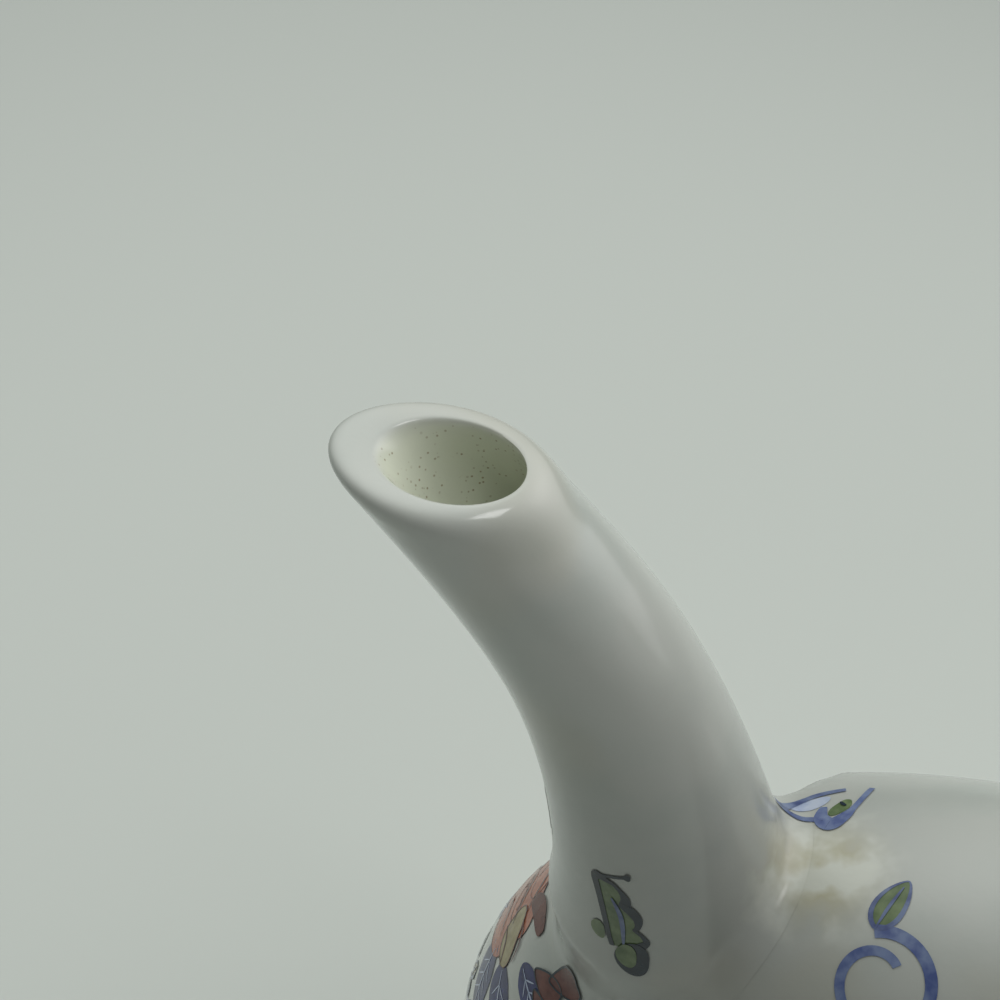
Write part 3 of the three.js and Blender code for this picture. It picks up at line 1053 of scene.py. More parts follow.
    @staticmethod
    def _eased(start: Ring, stop: Ring, leave: Sequence[Vector], arrive: Sequence[Vector], steps: int) -> list[Ring]:
        """Rings that pass from one ring to another along Bezier curves.

        Args:
            start: The first ring.
            stop: The last ring.
            leave: Offsets of the control points at the start.
            arrive: Offsets of the control points at the end.
            steps: How many rings follow the first.

        Returns:
            The rings, both ends among them.
        """
        return [
            [bezier(a, a + out, b + back, b, i / steps) for a, b, out, back in zip(start, stop, leave, arrive)]
            for i in range(steps + 1)
        ]


@dataclass
class Neck:
    """The neck with its rolled lip, saddled on the ring."""

    form: RingForm
    radius: float = 15.5 * MM
    bore: float = 11.5 * MM
    height: float = 7.0 * MM
    skirt: float = 2.0 * MM
    roll: float = 1.4 * MM
    seat_depth: float = 1.3 * MM
    luting: tuple[float, float] = (2.2 * MM, 2.4 * MM)
    sides: int = 112
    stations: int = 44

    def build(self) -> Piece:
        """Model the neck.

        Returns:
            The piece.
        """
        top = self.form.top + self.height
        base = self.form.top - self.form.tube
        outside = [
            *arc(self.radius, top - self.roll, self.roll, 90, -50, 14),
            (self.radius + 0.35 * MM, top - 2 * self.roll - 0.5 * MM), (self.radius, top - 2 * self.roll - 1.2 * MM),
            (self.radius, self.form.top), (self.radius + self.skirt * 0.2, self.form.top - 3 * MM),
            (self.radius + self.skirt * 0.5, self.form.top - 6 * MM), (self.radius + self.skirt, base),
        ]
        soften = 0.5 * MM
        inside = [(self.bore, top - soften), *arc(self.bore + soften, top - soften, soften, 180, 90, 6)[1:]]
        luting = Luting(self.form, Vector((self.form.centre.x, 0.0, self.form.top)), *self.luting)
        lines = []
        for angle in turns(self.sides):
            way = Vector((math.cos(angle), math.sin(angle), 0.0))
            seat = self._wall_point(way)
            bores = [seat] + [self.form.beside_axis(way, r, z) for r, z in inside]
            lines.append(bores + luting.finish([self.form.beside_axis(way, r, z) for r, z in outside], self.stations))
        return add_piece("neck_glazed", Loft(across_lines(lines), True).mesh, Body.POT, Slot.GLAZE, ("neck",))

    def _wall_point(self, way: Vector) -> Vector:
        """Where the bore ends inside the ring's wall."""
        def past(height: float) -> bool:
            """Whether a height is above that place."""
            return self.form.depth(self.form.beside_axis(way, self.bore, height)) > -self.seat_depth

        low = closed_in(self.form.top - self.form.tube, self.form.top, past)[0]
        return self.form.beside_axis(way, self.bore, low)


@dataclass
class EarHandle:
    """The ear handle, an oval strap that swells at its roots."""

    form: RingForm
    top_angle: float = 38.0
    bottom_angle: float = -30.0
    top_rise: float = 25.0
    bottom_rise: float = 12.0
    top_pull: float = 66.0 * MM
    bottom_pull: float = 58.0 * MM
    root_depth: float = 6.0 * MM
    width: float = 10.5 * MM
    thickness: float = 7.5 * MM
    swell: float = 1.4 * MM
    swell_fade: float = 4.5 * MM
    luting: tuple[float, float] = (2.2 * MM, 2.0 * MM)
    end_depth: float = 1.2 * MM
    sides: int = 48
    stations: int = 180

    def build(self) -> Piece:
        """Model the handle.

        Returns:
            The piece.
        """
        roots = [self._root(self.top_angle), self._root(self.bottom_angle)]
        course = Course(
            roots[0], roots[0] + self._away(self.top_rise) * self.top_pull,
            roots[1] + self._away(self.bottom_rise) * self.bottom_pull, roots[1],
        )
        rings = [self._section(course, i / self.stations) for i in range(self.stations + 1)]
        half = self.stations // 2
        ends: list[list[Ring]] = []
        for angle, part in ((self.top_angle, rings[half::-1]), (self.bottom_angle, rings[half:])):
            luting = Luting(self.form, self.form.surface(math.radians(angle), 0.0)[0], *self.luting)
            skin = luting.skin(part, half)
            skin.append([self.form.nearest(p.lerp(luting.middle, 0.6), -self.end_depth)[0] for p in skin[-1]])
            ends.append(skin)
        whole = ends[0][::-1] + ends[1][1:]
        return add_piece("handle_glazed", Loft(whole, False).mesh, Body.POT, Slot.GLAZE, ("handle",))

    def _root(self, angle: float) -> Vector:
        """The strap's end inside the ring."""
        return self.form.surface(math.radians(angle), 0.0, -self.root_depth)[0]

    @staticmethod
    def _away(rise: float) -> Vector:
        """Direction that leaves the ring at an angle above level."""
        return Vector((math.cos(math.radians(rise)), 0.0, math.sin(math.radians(rise))))

    def _section(self, course: Course, share: float) -> Ring:
        """One oval ring of the strap.

        Args:
            course: The strap's centreline.
            share: Share of the length, from 0 to 1.

        Returns:
            The ring's points.
        """
        centre, tangent = course.at(share)
        across = SIDE.cross(tangent).normalized()
        from_root = max(0.0, min(share, 1 - share) * course.length - self.root_depth)
        swell = self.swell * math.exp(-from_root / self.swell_fade)
        depth, width = self.thickness / 2 + swell, self.width / 2 + swell
        return [centre + across * math.cos(a) * depth + SIDE * math.sin(a) * width for a in turns(self.sides)]


@dataclass
class FootRing:
    """The oval foot, a waisted collar that is open underneath."""

    form: RingForm
    length: float = 58.0 * MM
    depth_ratio: float = 0.62
    rise: float = 11.0 * MM
    waist_inset: float = 6.0 * MM
    top_flare: float = 2.4 * MM
    rim_height: float = 3.0 * MM
    wall: float = 4.5 * MM
    edge: float = 0.9 * MM
    seat_depth: float = 1.0 * MM
    luting: tuple[float, float] = (1.6 * MM, 1.8 * MM)
    sides: int = 128
    stations: int = 34

    def build(self) -> Piece:
        """Model the foot.

        Returns:
            The piece.
        """
        rim, top = self.length / 2, self.form.centre.z - self.form.outer + self.rise
        waist, mid, edge = rim - self.waist_inset, (self.rim_height + top) / 2, self.edge
        curve = Course(
            Vector((rim, 0.0, self.rim_height)), Vector((rim - 1.5 * MM, 0.0, self.rim_height + 2.6 * MM)),
            Vector((waist - 0.4 * MM, 0.0, mid - 1.0 * MM)), Vector((waist + self.top_flare, 0.0, top)),
        )
        outside = [
            *arc(rim - edge, edge, edge, -90, 0, 6),
            *arc(rim - edge, self.rim_height - edge, edge, 0, 40, 4),
            *[(p.x, p.z) for p in (curve.at(i / 16)[0] for i in range(2, 17))],
        ]
        hollow = waist - self.wall
        inside = [
            (hollow, top), (hollow, self.rim_height + 1.5 * MM), (hollow + 0.6 * MM, self.rim_height),
            *arc(rim - self.wall - edge, edge, edge, 200, 270, 5),
        ]
        under = Vector((self.form.centre.x, 0.0, self.form.centre.z - self.form.outer))
        luting = Luting(self.form, under, *self.luting)
        lines = []
        for angle in turns(self.sides):
            way = Vector((math.cos(angle), math.sin(angle) * self.depth_ratio, 0.0))
            inner = [self.form.beside_axis(way, r, z) for r, z in inside]
            inner[0] = self._under_ring(inner[0])
            lines.append(inner + luting.finish([self.form.beside_axis(way, r, z) for r, z in outside], self.stations))
        return add_piece("foot_glazed", Loft(across_lines(lines), True).mesh, Body.POT, Slot.GLAZE, ("foot",))

    def _under_ring(self, point: Vector) -> Vector:
        """The point at that place just inside the ring's wall."""
        def past(height: float) -> bool:
            """Whether a height is inside the wall."""
            return self.form.depth(Vector((point.x, point.y, height))) < -self.seat_depth

        high = closed_in(point.z - 14 * MM, point.z + 6 * MM, past)[1]
        return Vector((point.x, point.y, high))


@dataclass
class Lid:
    """The lid: a low dome, a locating flange and a bud knob."""

    form: RingForm
    neck: Neck
    overhang: float = 0.4 * MM
    edge: float = 2.2 * MM
    dome: float = 8.0 * MM
    wall: float = 2.4 * MM
    land: float = 4.6 * MM
    vent: float = 0.9 * MM
    seat: float = 0.3 * MM
    flange_gap: float = 0.6 * MM
    flange_wall: float = 2.2 * MM
    flange_height: float = 7.0 * MM
    knob_radius: float = 5.6 * MM
    knob_neck: float = 3.4 * MM
    knob_foot: float = 5.2 * MM
    knob_stem: float = 2.2 * MM

    @property
    def base(self) -> float:
        """Height of the lid's seat."""
        return self.form.top + self.neck.height + self.seat

    @property
    def radius(self) -> float:
        """The lid's radius."""
        return self.neck.radius + self.neck.roll + self.overhang

    @property
    def top(self) -> float:
        """Height of the dome's crown."""
        return self.base + self.edge + self.dome

    @property
    def axis(self) -> Vector:
        """The lid's axis at height 0."""
        return Vector((self.form.centre.x, 0.0, 0.0))

    def crown(self, radius: float) -> float:
        """Height of the dome above the seat at a radius."""
        def bow(r: float) -> float:
            """Share of the dome's bow."""
            return math.sqrt(max(0.0, 1 - (r / self.radius) ** 2))
        return self.edge + self.dome * min(1.0, bow(radius) / bow(self.land))

    def build(self) -> list[Piece]:
        """Model the dome, flange and knob and return their pieces."""
        return [self._dome(), self._flange(), self._knob()]

    def _dome(self) -> Piece:
        """Model the dome.

        Returns:
            The piece.
        """
        edge, steps = 0.7 * MM, 30
        inner = self.neck.bore - self.flange_gap - self.flange_wall / 2
        outer = []
        lining = []
        for i in range(steps + 1):
            angle = i / steps * math.pi / 2
            r = self.land + (self.radius - self.land) * math.cos(angle)
            outer.append((r, self.base + self.crown(r)))
            q = self.vent + (inner - self.vent) * math.cos(angle)
            lining.append((q, self.base + self.crown(q) - self.wall))
        profile = [
            (inner, self.base), *arc(self.radius - edge, self.base + edge, edge, -90, 0, 6),
            *outer, (self.vent, self.top), *lining[::-1],
        ]
        return add_piece("lid_dome_glazed", turned(profile, self.axis), Body.LID, Slot.GLAZE, ("lid_dome",))

    def _flange(self) -> Piece:
        """Model the flange.

        Returns:
            The piece.
        """
        outside = self.neck.bore - self.flange_gap
        inside = outside - self.flange_wall
        base, top, edge = self.base - self.flange_height, self.base + self.edge, 0.7 * MM
        profile = [
            *arc(inside + edge, base + edge, edge, 180, 270, 5), *arc(outside - edge, base + edge, edge, -90, 0, 5),
            (outside, top), (inside, top),
        ]
        return add_piece("lid_flange_turned", turned(profile, self.axis), Body.LID, Slot.BISCUIT, ("lid_flange",))

    def _knob(self) -> Piece:
        """Model the bud knob with its flared foot.

        Returns:
            The piece.
        """
        start = -math.degrees(math.acos(self.knob_neck / self.knob_radius))
        base = self.top + self.seat
        middle = base + self.knob_stem - self.knob_radius * math.sin(math.radians(start))
        stop = math.degrees(math.acos(self.vent / self.knob_radius))
        foot = Course(
            Vector((self.knob_foot, 0, self.base + self.crown(self.knob_foot) + 0.02 * MM)),
            Vector((self.knob_neck + 0.3 * MM, 0, self.top + 0.1 * MM)),
            Vector((self.knob_neck - 0.35 * MM, 0, base + self.knob_stem - 1.0 * MM)),
            Vector((self.knob_neck, 0, base + self.knob_stem)),
        )
        profile = [
            (self.vent, self.top - 0.8 * MM), (self.knob_foot - 1.2 * MM, self.top - 0.8 * MM),
            *[(p.x, p.z) for p in (foot.at(i / 10)[0] for i in range(10))],
            *arc(0.0, middle, self.knob_radius, start, stop, 34),
        ]
        return add_piece("lid_knob_glazed", turned(profile, self.axis), Body.LID, Slot.GLAZE, ("lid_knob",))


# Painting


@dataclass
class Canvas:
    """A patch of the pot with flat coordinates in millimetres, laid on by casting rays."""

    tree: BVHTree
    cast_from: Callable[[float, float], tuple[Vector, Vector, float]]
    turn: float = 0.0
    scale: float = 1.0
    shift: tuple[float, float] = (0.0, 0.0)
    slack: float = 3.2 * MM

    def moved(self, x: float, y: float, turn: float = 0.0, scale: float = 1.0) -> "Canvas":
        """A canvas inside this one, moved, turned and scaled."""
        px, py = self._outer(x, y)
        return Canvas(self.tree, self.cast_from, self.turn + turn, self.scale * scale, (px, py), self.slack)

    def _outer(self, x: float, y: float) -> tuple[float, float]:
        """Coordinates on the whole patch."""
        c, s = math.cos(self.turn), math.sin(self.turn)
        return (
            self.shift[0] + self.scale * (x * c - y * s), self.shift[1] + self.scale * (x * s + y * c),
        )

    def at(self, x: float, y: float, lift: float) -> Vector | None:
        """The point of the pot under flat coordinates, or None where something else is in the way."""
        origin, direction, expected = self.cast_from(*self._outer(x, y))
        hit, normal, _, distance = self.tree.ray_cast(origin, direction)
        if hit is None or abs(distance - expected) > self.slack:
            return None
        if normal.dot(direction) > 0:
            normal = -normal
        return hit + normal * lift


class Painter:
    """Collects each colour's strokes and fills in one mesh."""

    SAMPLES = 24  # points of an outline that its middle is taken from
    NUDGE = 0.01  # share on both sides of a point that gives a line's direction

    def __init__(self, body: Body, label: str) -> None:
        """Start with no paint.

        Args:
            body: The body that the paint rides on.
            label: What the paint is on, for the pieces' names.
        """
        self.body, self.label = body, label
        self.meshes = {colour: bmesh.new() for colour in Enamel}

    def fill(self, colour: Enamel, canvas: Canvas, outline: Outline, lift: float = 0.05, points: int = 24) -> None:
        """Fill a rounded shape.

        Args:
            colour: The paint.
            canvas: Where it goes.
            outline: The outline's point at an angle in radians.
            lift: Height above the glaze in millimetres.
            points: How many points the outline has.
        """
        middle = [sum(outline(turn)[axis] for turn in turns(self.SAMPLES)) / self.SAMPLES for axis in (0, 1)]

        def place(x: float, y: float) -> Vector | None:
            """Point of the fill for a point of the unit disc."""
            radius, angle = math.hypot(x, y), math.atan2(y, x)
            ex, ey = outline(angle % math.tau)
            return canvas.at(middle[0] + (ex - middle[0]) * radius, middle[1] + (ey - middle[1]) * radius, lift * MM)

        patch = bmesh.new()
        bmesh.ops.create_circle(patch, cap_ends=True, cap_tris=True, segments=points, radius=1.0)
        spokes = [edge for edge in patch.edges if not edge.is_boundary]
        bmesh.ops.subdivide_edges(patch, edges=spokes, cuts=2)
        self._lay(patch, colour, place)

    def stroke(
        self, colour: Enamel, canvas: Canvas, path: Outline, width: Width, steps: int = 16, lift: float = 0.09,
    ) -> None:
        """Draw a line.

        Args:
            colour: The paint.
            canvas: Where it goes.
            path: The line's point at a share from 0 to 1.
            width: The line's width in millimetres at a share.
            steps: How many faces long it is.
            lift: Height above the glaze in millimetres.
        """
        def place(x: float, y: float) -> Vector | None:
            """Point of the line for a point of the unit strip."""
            share = min(max((x + 1) / 2, 0.0), 1.0)
            a, b = path(max(share - self.NUDGE, 0.0)), path(min(share + self.NUDGE, 1.0))
            dx, dy = b[0] - a[0], b[1] - a[1]
            size = math.hypot(dx, dy) or 1.0
            px, py = path(share)
            half = width(share) / 2 * y
            return canvas.at(px - dy / size * half, py + dx / size * half, lift * MM)

        patch = bmesh.new()
        bmesh.ops.create_grid(patch, x_segments=steps, y_segments=1, size=1.0)
        self._lay(patch, colour, place)

    def edge(
        self, colour: Enamel, canvas: Canvas, outline: Outline, width: Width, steps: int, lift: float = 0.09,
    ) -> None:
        """Draw a line along an outline."""
        self.stroke(colour, canvas, lambda s: outline(s * math.tau), width, steps, lift)

    def _lay(self, patch: Mesh, colour: Enamel, place: Callable[[float, float], Vector | None]) -> None:
        """Lay a flat patch on the pot and add it to its colour's mesh.

        Args:
            patch: The flat patch, which is freed.
            colour: The paint.
            place: The pot's point for a point of the patch.
        """
        lost = []
        for vert in patch.verts:
            point = place(vert.co.x, vert.co.y)
            if point is None:
                lost.append(vert)
            else:
                vert.co = point
        bmesh.ops.delete(patch, geom=lost, context="VERTS")
        data = bpy.data.meshes.new("patch")
        patch.to_mesh(data)
        patch.free()
        self.meshes[colour].from_mesh(data)
        bpy.data.meshes.remove(data)

    def finish(self, materials: dict[Enamel, Material]) -> None:
        """Make one piece for each colour that was used.

        Args:
            materials: The paints.
        """
        for colour, mesh in self.meshes.items():
            if not mesh.faces:
                mesh.free()
                continue
            name = f"{self.label}_{colour.value.name}"
            piece = add_piece(name, mesh, self.body, Slot.GLAZE)
            piece.data.materials.append(materials[colour])


def leaf_outline(length: float, width: float, bend: float = 0.0) -> Outline:
    """Outline of a pointed leaf that starts at the origin and may bend sideways.

    Args:
        length: Its length.
        width: Its width.
        bend: How far its tip leans sideways.

    Returns:
        The outline.
    """
    def outline(angle: float) -> tuple[float, float]:
        """Point of the outline."""
        share = (1 - math.cos(angle)) / 2
        y = math.sin(angle) * abs(math.sin(angle)) ** 0.25 * (1.1 - 0.45 * share) * width / 2
        return length * share, y + bend * share * share
    return outline


def petal_outline(length: float, width: float) -> Outline:
    """Outline of a petal that is broad at its outer end and slightly notched.

    Args:
        length: Its length.
        width: Its width.

    Returns:
        The outline.
    """
    def outline(angle: float) -> tuple[float, float]:
        """Point of the outline."""
        share = (1 - math.cos(angle)) / 2
        y = math.sin(angle) * (0.35 + 0.75 * share) * width / 2
        notch = 0.08 * length * math.exp(-((angle - math.pi) / 0.35) ** 2)
        return length * share - notch, y
    return outline


def serrated_outline(length: float, width: float, teeth: int = 3) -> Outline:
    """Outline of a leaf with one plain edge and one toothed edge, from its base at the origin.

    Args:
        length: Its length.
        width: Its width.
        teeth: How many teeth it has.

    Returns:
        The outline.
    """
    def outline(angle: float) -> tuple[float, float]:
        """Point of the outline."""
        share = (1 - math.cos(angle)) / 2
        body = (1 - 0.5 * share * share) * min(1.0, 14 * (1 - share)) ** 0.5 * min(1.0, 0.6 + 3 * share)
        if angle <= math.pi:
            tooth = abs(math.sin(math.pi * (share * teeth + 0.1)))
            return length * share, width * body * (0.74 + 0.26 * tooth ** 0.7)
        return length * share, -width * 0.12 * body
    return outline


def blot(length: float, width: float) -> Outline:
    """Outline of an uneven oval brush mark about its middle.

    Args:
        length: Its length.
        width: Its width.

    Returns:
        The outline.
    """
    def outline(angle: float) -> tuple[float, float]:
        """Point of the outline."""
        swell = 1 + 0.10 * math.sin(2 * angle + 0.7) + 0.06 * math.sin(3 * angle)
        return length / 2 * swell * math.cos(angle), width / 2 * swell * math.sin(angle)
    return outline


def through(points: Sequence[tuple[float, float]]) -> Outline:
    """A smooth path through points.

    Args:
        points: The points.

    Returns:
        The path.
    """
    count = len(points) - 1

    def path(share: float) -> tuple[float, float]:
        """Point of the path."""
        place = min(max(share, 0.0), 1.0) * count
        k = min(int(place), count - 1)
        t = place - k
        a, b, c, d = (points[min(max(k + i, 0), count)] for i in (-1, 0, 1, 2))
        return tuple(
            0.5 * (2 * q + (r - p) * t + (2 * p - 5 * q + 4 * r - s) * t * t + (3 * q - p - 3 * r + s) * t ** 3)
            for p, q, r, s in zip(a, b, c, d)
        )
    return path


def swelling(widest: float) -> Width:
    """A brush width that is fine at both ends."""
    return lambda share: widest * (0.35 + 0.65 * math.sin(math.pi * share))


class FlowerScroll:
    """The painter's hand: flowers, leaves and tendrils in outline and wash."""

    # The peony's parts, with places and sizes as shares of its size, turns in radians and lifts in millimetres.
    # Leaves: x, y, turn, length, width. Petals: x, y, turn. Veins: x, y, turn, length.
    # Washes: paint, lift, x, y, length, width, turn.
    PEONY_LEAVES = (
        (0.95, -0.30, -0.55, 1.35, 0.80), (0.58, -0.70, -1.05, 1.25, 0.82),
        (-0.05, -0.85, -1.9, 1.0, 0.60), (1.2, 0.35, 0.5, 0.9, 0.5),
    )
    PEONY_PETALS = ((-0.42, -1.0, -2.3), (-0.75, -1.2, -2.9), (-0.35, -1.25, -1.8))
    PEONY_WASHES = (
        (Enamel.RED, 0.07, 0.20, 0.42, 1.65, 1.1, 1.5), (Enamel.RED, 0.07, 0.95, 0.25, 1.5, 1.0, 1.4),
        (Enamel.RED, 0.07, -0.12, 0.75, 1.2, 0.7, 1.9), (Enamel.YELLOW, 0.11, 0.45, -0.34, 0.85, 0.62, 2.0),
    )
    PEONY_VEINS = (
        (0.1, -0.1, 1.7, 1.1), (0.5, -0.15, 1.5, 1.0), (0.95, -0.2, 1.3, 0.8), (0.3, -0.75, 1.9, 0.6),
        (0.75, -0.7, 1.6, 0.6),
    )

    def __init__(self, brush: Painter, seed: int) -> None:
        """Start a hand.

        Args:
            brush: The paint.
            seed: Seed of the hand's small changes.
        """
        self.brush = brush
        self.chance = random.Random(seed)

    def _line(self, canvas: Canvas, path: Outline, width: Width, steps: int, lift: float = 0.09) -> None:
        """Draw a blue line."""
        self.brush.stroke(Enamel.BLUE_LINE, canvas, path, width, steps, lift)

    def _rim(self, canvas: Canvas, outline: Outline, width: float = 0.42) -> None:
        """Draw a shape's blue outline."""
        self.brush.edge(Enamel.BLUE_LINE, canvas, outline, lambda s: width * (0.8 + 0.4 * math.sin(9 * s)), 30)

    def leaf(
        self, canvas: Canvas, length: float, width: float, bend: float = 0.0, colour: Enamel = Enamel.GREEN,
    ) -> None:
        """Paint one leaf with its midrib.

        Args:
            canvas: Where it goes.
            length: Its length.
            width: Its width.
            bend: How far its tip leans sideways.
            colour: The paint.
        """
        outline, rib = leaf_outline(length, width, bend), 0.86
        self.brush.fill(colour, canvas, outline)
        self._rim(canvas, outline, 0.36)
        self._line(canvas, lambda s: (length * rib * s, bend * (rib * s) ** 2), swelling(0.3), 10, 0.12)

    def flower(self, canvas: Canvas, size: float, petals: int = 7, heart: int = 5) -> None:
        """Paint a round flower with red petals and a yellow heart.

        Args:
            canvas: Where it goes.
            size: Its size in millimetres.
            petals: How many outer petals it has.
            heart: How many inner petals it has.
        """
        petal, wash = petal_outline(size * 0.84, size * 0.78), petal_outline(size * 0.5, size * 0.22)
        for i in range(petals):
            turn = math.tau * (i + self.chance.uniform(-0.08, 0.08)) / petals
            place = canvas.moved(0.0, 0.0, turn, self.chance.uniform(0.93, 1.05)).moved(size * 0.16, 0.0)
            self.brush.fill(Enamel.RED, place, petal)
            self._rim(place, petal)
            self.brush.fill(Enamel.DARK_RED, place, wash, 0.08)
        petal = petal_outline(size * 0.46, size * 0.44)
        for i in range(heart):
            place = canvas.moved(0.0, 0.0, math.tau * (i + 0.5) / heart)
            self.brush.fill(Enamel.YELLOW, place, petal, 0.11)
            self.brush.edge(Enamel.BLUE_LINE, place, petal, lambda s: 0.34, 22, 0.14)
        self.brush.fill(Enamel.BLUE, canvas, lambda a: (size * 0.14 * math.cos(a), size * 0.14 * math.sin(a)), 0.16)

    def tendril(self, canvas: Canvas, length: float, curl: float, width: float = 0.5) -> None:
        """Paint a stem that ends in a curl.

        Args:
            canvas: Where it goes.
            length: Its length.
            curl: The curl's radius, negative to curl the other way.
            width: Its width where it starts.
        """
        radius, way, stem = abs(curl), math.copysign(1.0, curl), 0.45

        def path(share: float) -> tuple[float, float]:
            """Point of the tendril."""
            if share < stem:
                s = share / stem
                return length * s, way * radius * 0.25 * math.sin(math.pi * s)
            t = (share - stem) / (1 - stem)
            angle = -math.pi / 2 + 1.6 * math.pi * t
            r = radius * (1 - 0.62 * t)
            return length + r * math.cos(angle), way * (radius + r * math.sin(angle))

        self._line(canvas, path, lambda s: width * (1.05 - 0.6 * s), 30)

    def spray(self, canvas: Canvas, size: float) -> None:
        """Paint a sprig: a stem with leaves on both sides and one at its tip.

        Args:
            canvas: Where it goes.
            size: Its size in millimetres.
        """
        def stem(share: float) -> tuple[float, float]:
            """Point of the stem."""
            return size * share, size * 0.12 * math.sin(3 * share)

        self._line(canvas, stem, swelling(0.5), 16)
        for i, share in enumerate((0.12, 0.34, 0.56, 0.78)):
            way, colour = (1, Enamel.YELLOW) if i % 2 else (-1, Enamel.GREEN)
            place = canvas.moved(*stem(share), way * 0.75)
            self.leaf(place, size * (0.42 - 0.06 * i), size * 0.2, way * size * 0.06, colour)
        self.leaf(canvas.moved(size * 0.95, size * 0.03), size * 0.34, size * 0.17)

    def toothed_leaf(self, canvas: Canvas, size: float, way: int = 1) -> None:
        """Paint a toothed leaf with a rounded lobe and a bud at its base, its teeth to one side.

        Args:
            canvas: Where the base is, with x towards the tip.
            size: The leaf's length.
            way: 1 puts the teeth on the side of y, -1 on the other.
        """
        brush, plain = self.brush, serrated_outline(size, size * 0.33)

        def leaf(angle: float) -> tuple[float, float]:
            """The outline, its teeth on the wanted side."""
            x, y = plain(angle)
            return x, y * way

        def share(x: float, y: float) -> tuple[float, float]:
            """A place given in shares of the size."""
            return size * x, size * y * way

        brush.fill(Enamel.GREEN, canvas, leaf, 0.05, 60)
        brush.stroke(
            Enamel.TEAL, canvas, lambda s: leaf(s * math.pi), lambda s: 0.75 + 0.35 * math.sin(14 * s), 70,
        )
        brush.stroke(Enamel.TEAL, canvas, lambda s: leaf(math.tau - s * math.pi), lambda s: 0.50 + 0.25 * s, 30)
        self._line(canvas, through([share(0.06, 0.1), share(0.45, 0.14), share(0.72, 0.1)]), swelling(0.5), 16, 0.12)
        lobe = canvas.moved(*share(-0.12, 0.16))
        brush.fill(Enamel.TEAL, lobe, blot(size * 0.42, size * 0.36), 0.11)
        brush.fill(Enamel.GREEN, lobe.moved(*share(0.04, -0.05)), blot(size * 0.30, size * 0.22), 0.15)
        brush.fill(Enamel.GREEN, canvas.moved(*share(0.16, -0.15)), blot(size * 0.24, size * 0.17), 0.08)
        tip = leaf(math.pi)
        stem = through([(tip[0] + x, tip[1] + y) for x, y in (share(0, 0), share(0.02, 0.12), share(0.05, 0.32))])
        brush.stroke(Enamel.TEAL, canvas, stem, lambda s: 0.34, 14)
        brush.fill(Enamel.TEAL, canvas.moved(*stem(1.0)), blot(size * 0.08, size * 0.07), 0.13)

    def peony(self, canvas: Canvas, size: float) -> None:
        """Paint a loose flower from one side: a tall petal over a gold heart, dark leaves under it.

        Args:
            canvas: Where it goes.
            size: Its size in millimetres.
        """
        brush, petal = self.brush, petal_outline(size * 0.72, size * 0.55)

        def at(x: float, y: float, turn: float) -> Canvas:
            """A place given in shares of the size."""
            return canvas.moved(size * x, size * y, turn)

        for x, y, turn, long, wide in self.PEONY_LEAVES:
            self._dark_leaf(at(x, y, turn), size * long, size * wide)
        for x, y, turn in self.PEONY_PETALS:
            brush.fill(Enamel.DARK_RED, at(x, y, turn), petal, 0.12)
            brush.edge(Enamel.TEAL, at(x, y, turn), petal, lambda s: 0.2, 26, 0.15)
        for colour, lift, x, y, long, wide, turn in self.PEONY_WASHES:
            wash, place = blot(size * long, size * wide), at(x, y, turn)
            brush.fill(colour, place, wash, lift, 32)
            brush.edge(Enamel.DARK_RED, place, wash, lambda s: 0.16 + 0.08 * math.sin(9 * s), 40, lift + 0.02)
        for x, y, turn, long in self.PEONY_VEINS:
            brush.stroke(
                Enamel.DARK_RED, at(x, y, turn), lambda s: (size * long * s, 0.12 * size * math.sin(3 * s)),
                swelling(0.3), 16, 0.14,
            )
        tongue = through([(-0.05 * size, 0.12 * size), (-0.34 * size, -0.14 * size), (-0.52 * size, -0.55 * size)])
        brush.stroke(
            Enamel.DARK_RED, canvas, tongue, lambda s: size * (0.12 + 0.2 * math.sin(math.pi * s) ** 0.7), 20, 0.15,
        )

    def _dark_leaf(self, canvas: Canvas, length: float, width: float) -> None:
        """Paint one dark blue leaf with pale veins.

        Args:
            canvas: Where it goes.
            length: Its length.
            width: Its width.
        """
        self.brush.fill(Enamel.DEEP_BLUE, canvas, leaf_outline(length, width), 0.06, 30)
        self.brush.stroke(Enamel.LILAC, canvas, lambda s: (length * (0.08 + 0.8 * s), 0.0), swelling(0.26), 12)
        for k in range(3):
            for way in (1, -1):
                start = length * (0.25 + 0.18 * k)
                self.brush.stroke(
                    Enamel.LILAC, canvas, lambda s: (start + length * 0.16 * s, way * width * 0.30 * s),
                    swelling(0.18), 6,
                )

    def bud_scroll(self, canvas: Canvas, size: float, way: int = 1) -> None:
        """Paint a scroll: a pale arch over a base line that cups a green bud and runs on.

        Args:
            canvas: Where it goes.
            size: Its size in millimetres.
            way: 1 or -1, the side it turns to.
        """
        brush = self.brush

        def laid(*points: tuple[float, float]) -> Outline:
            """Path through points given as shares of the size."""
            return through([(x * size * way, y * size) for x, y in points])

        def daub(colour: Enamel, x: float, y: float, turn: float, long: float, wide: float, lift: float) -> None:
            """Fill a brush mark given in shares of the size."""
            brush.fill(colour, canvas.moved(x * size * way, y * size, turn), blot(size * long, size * wide), lift)

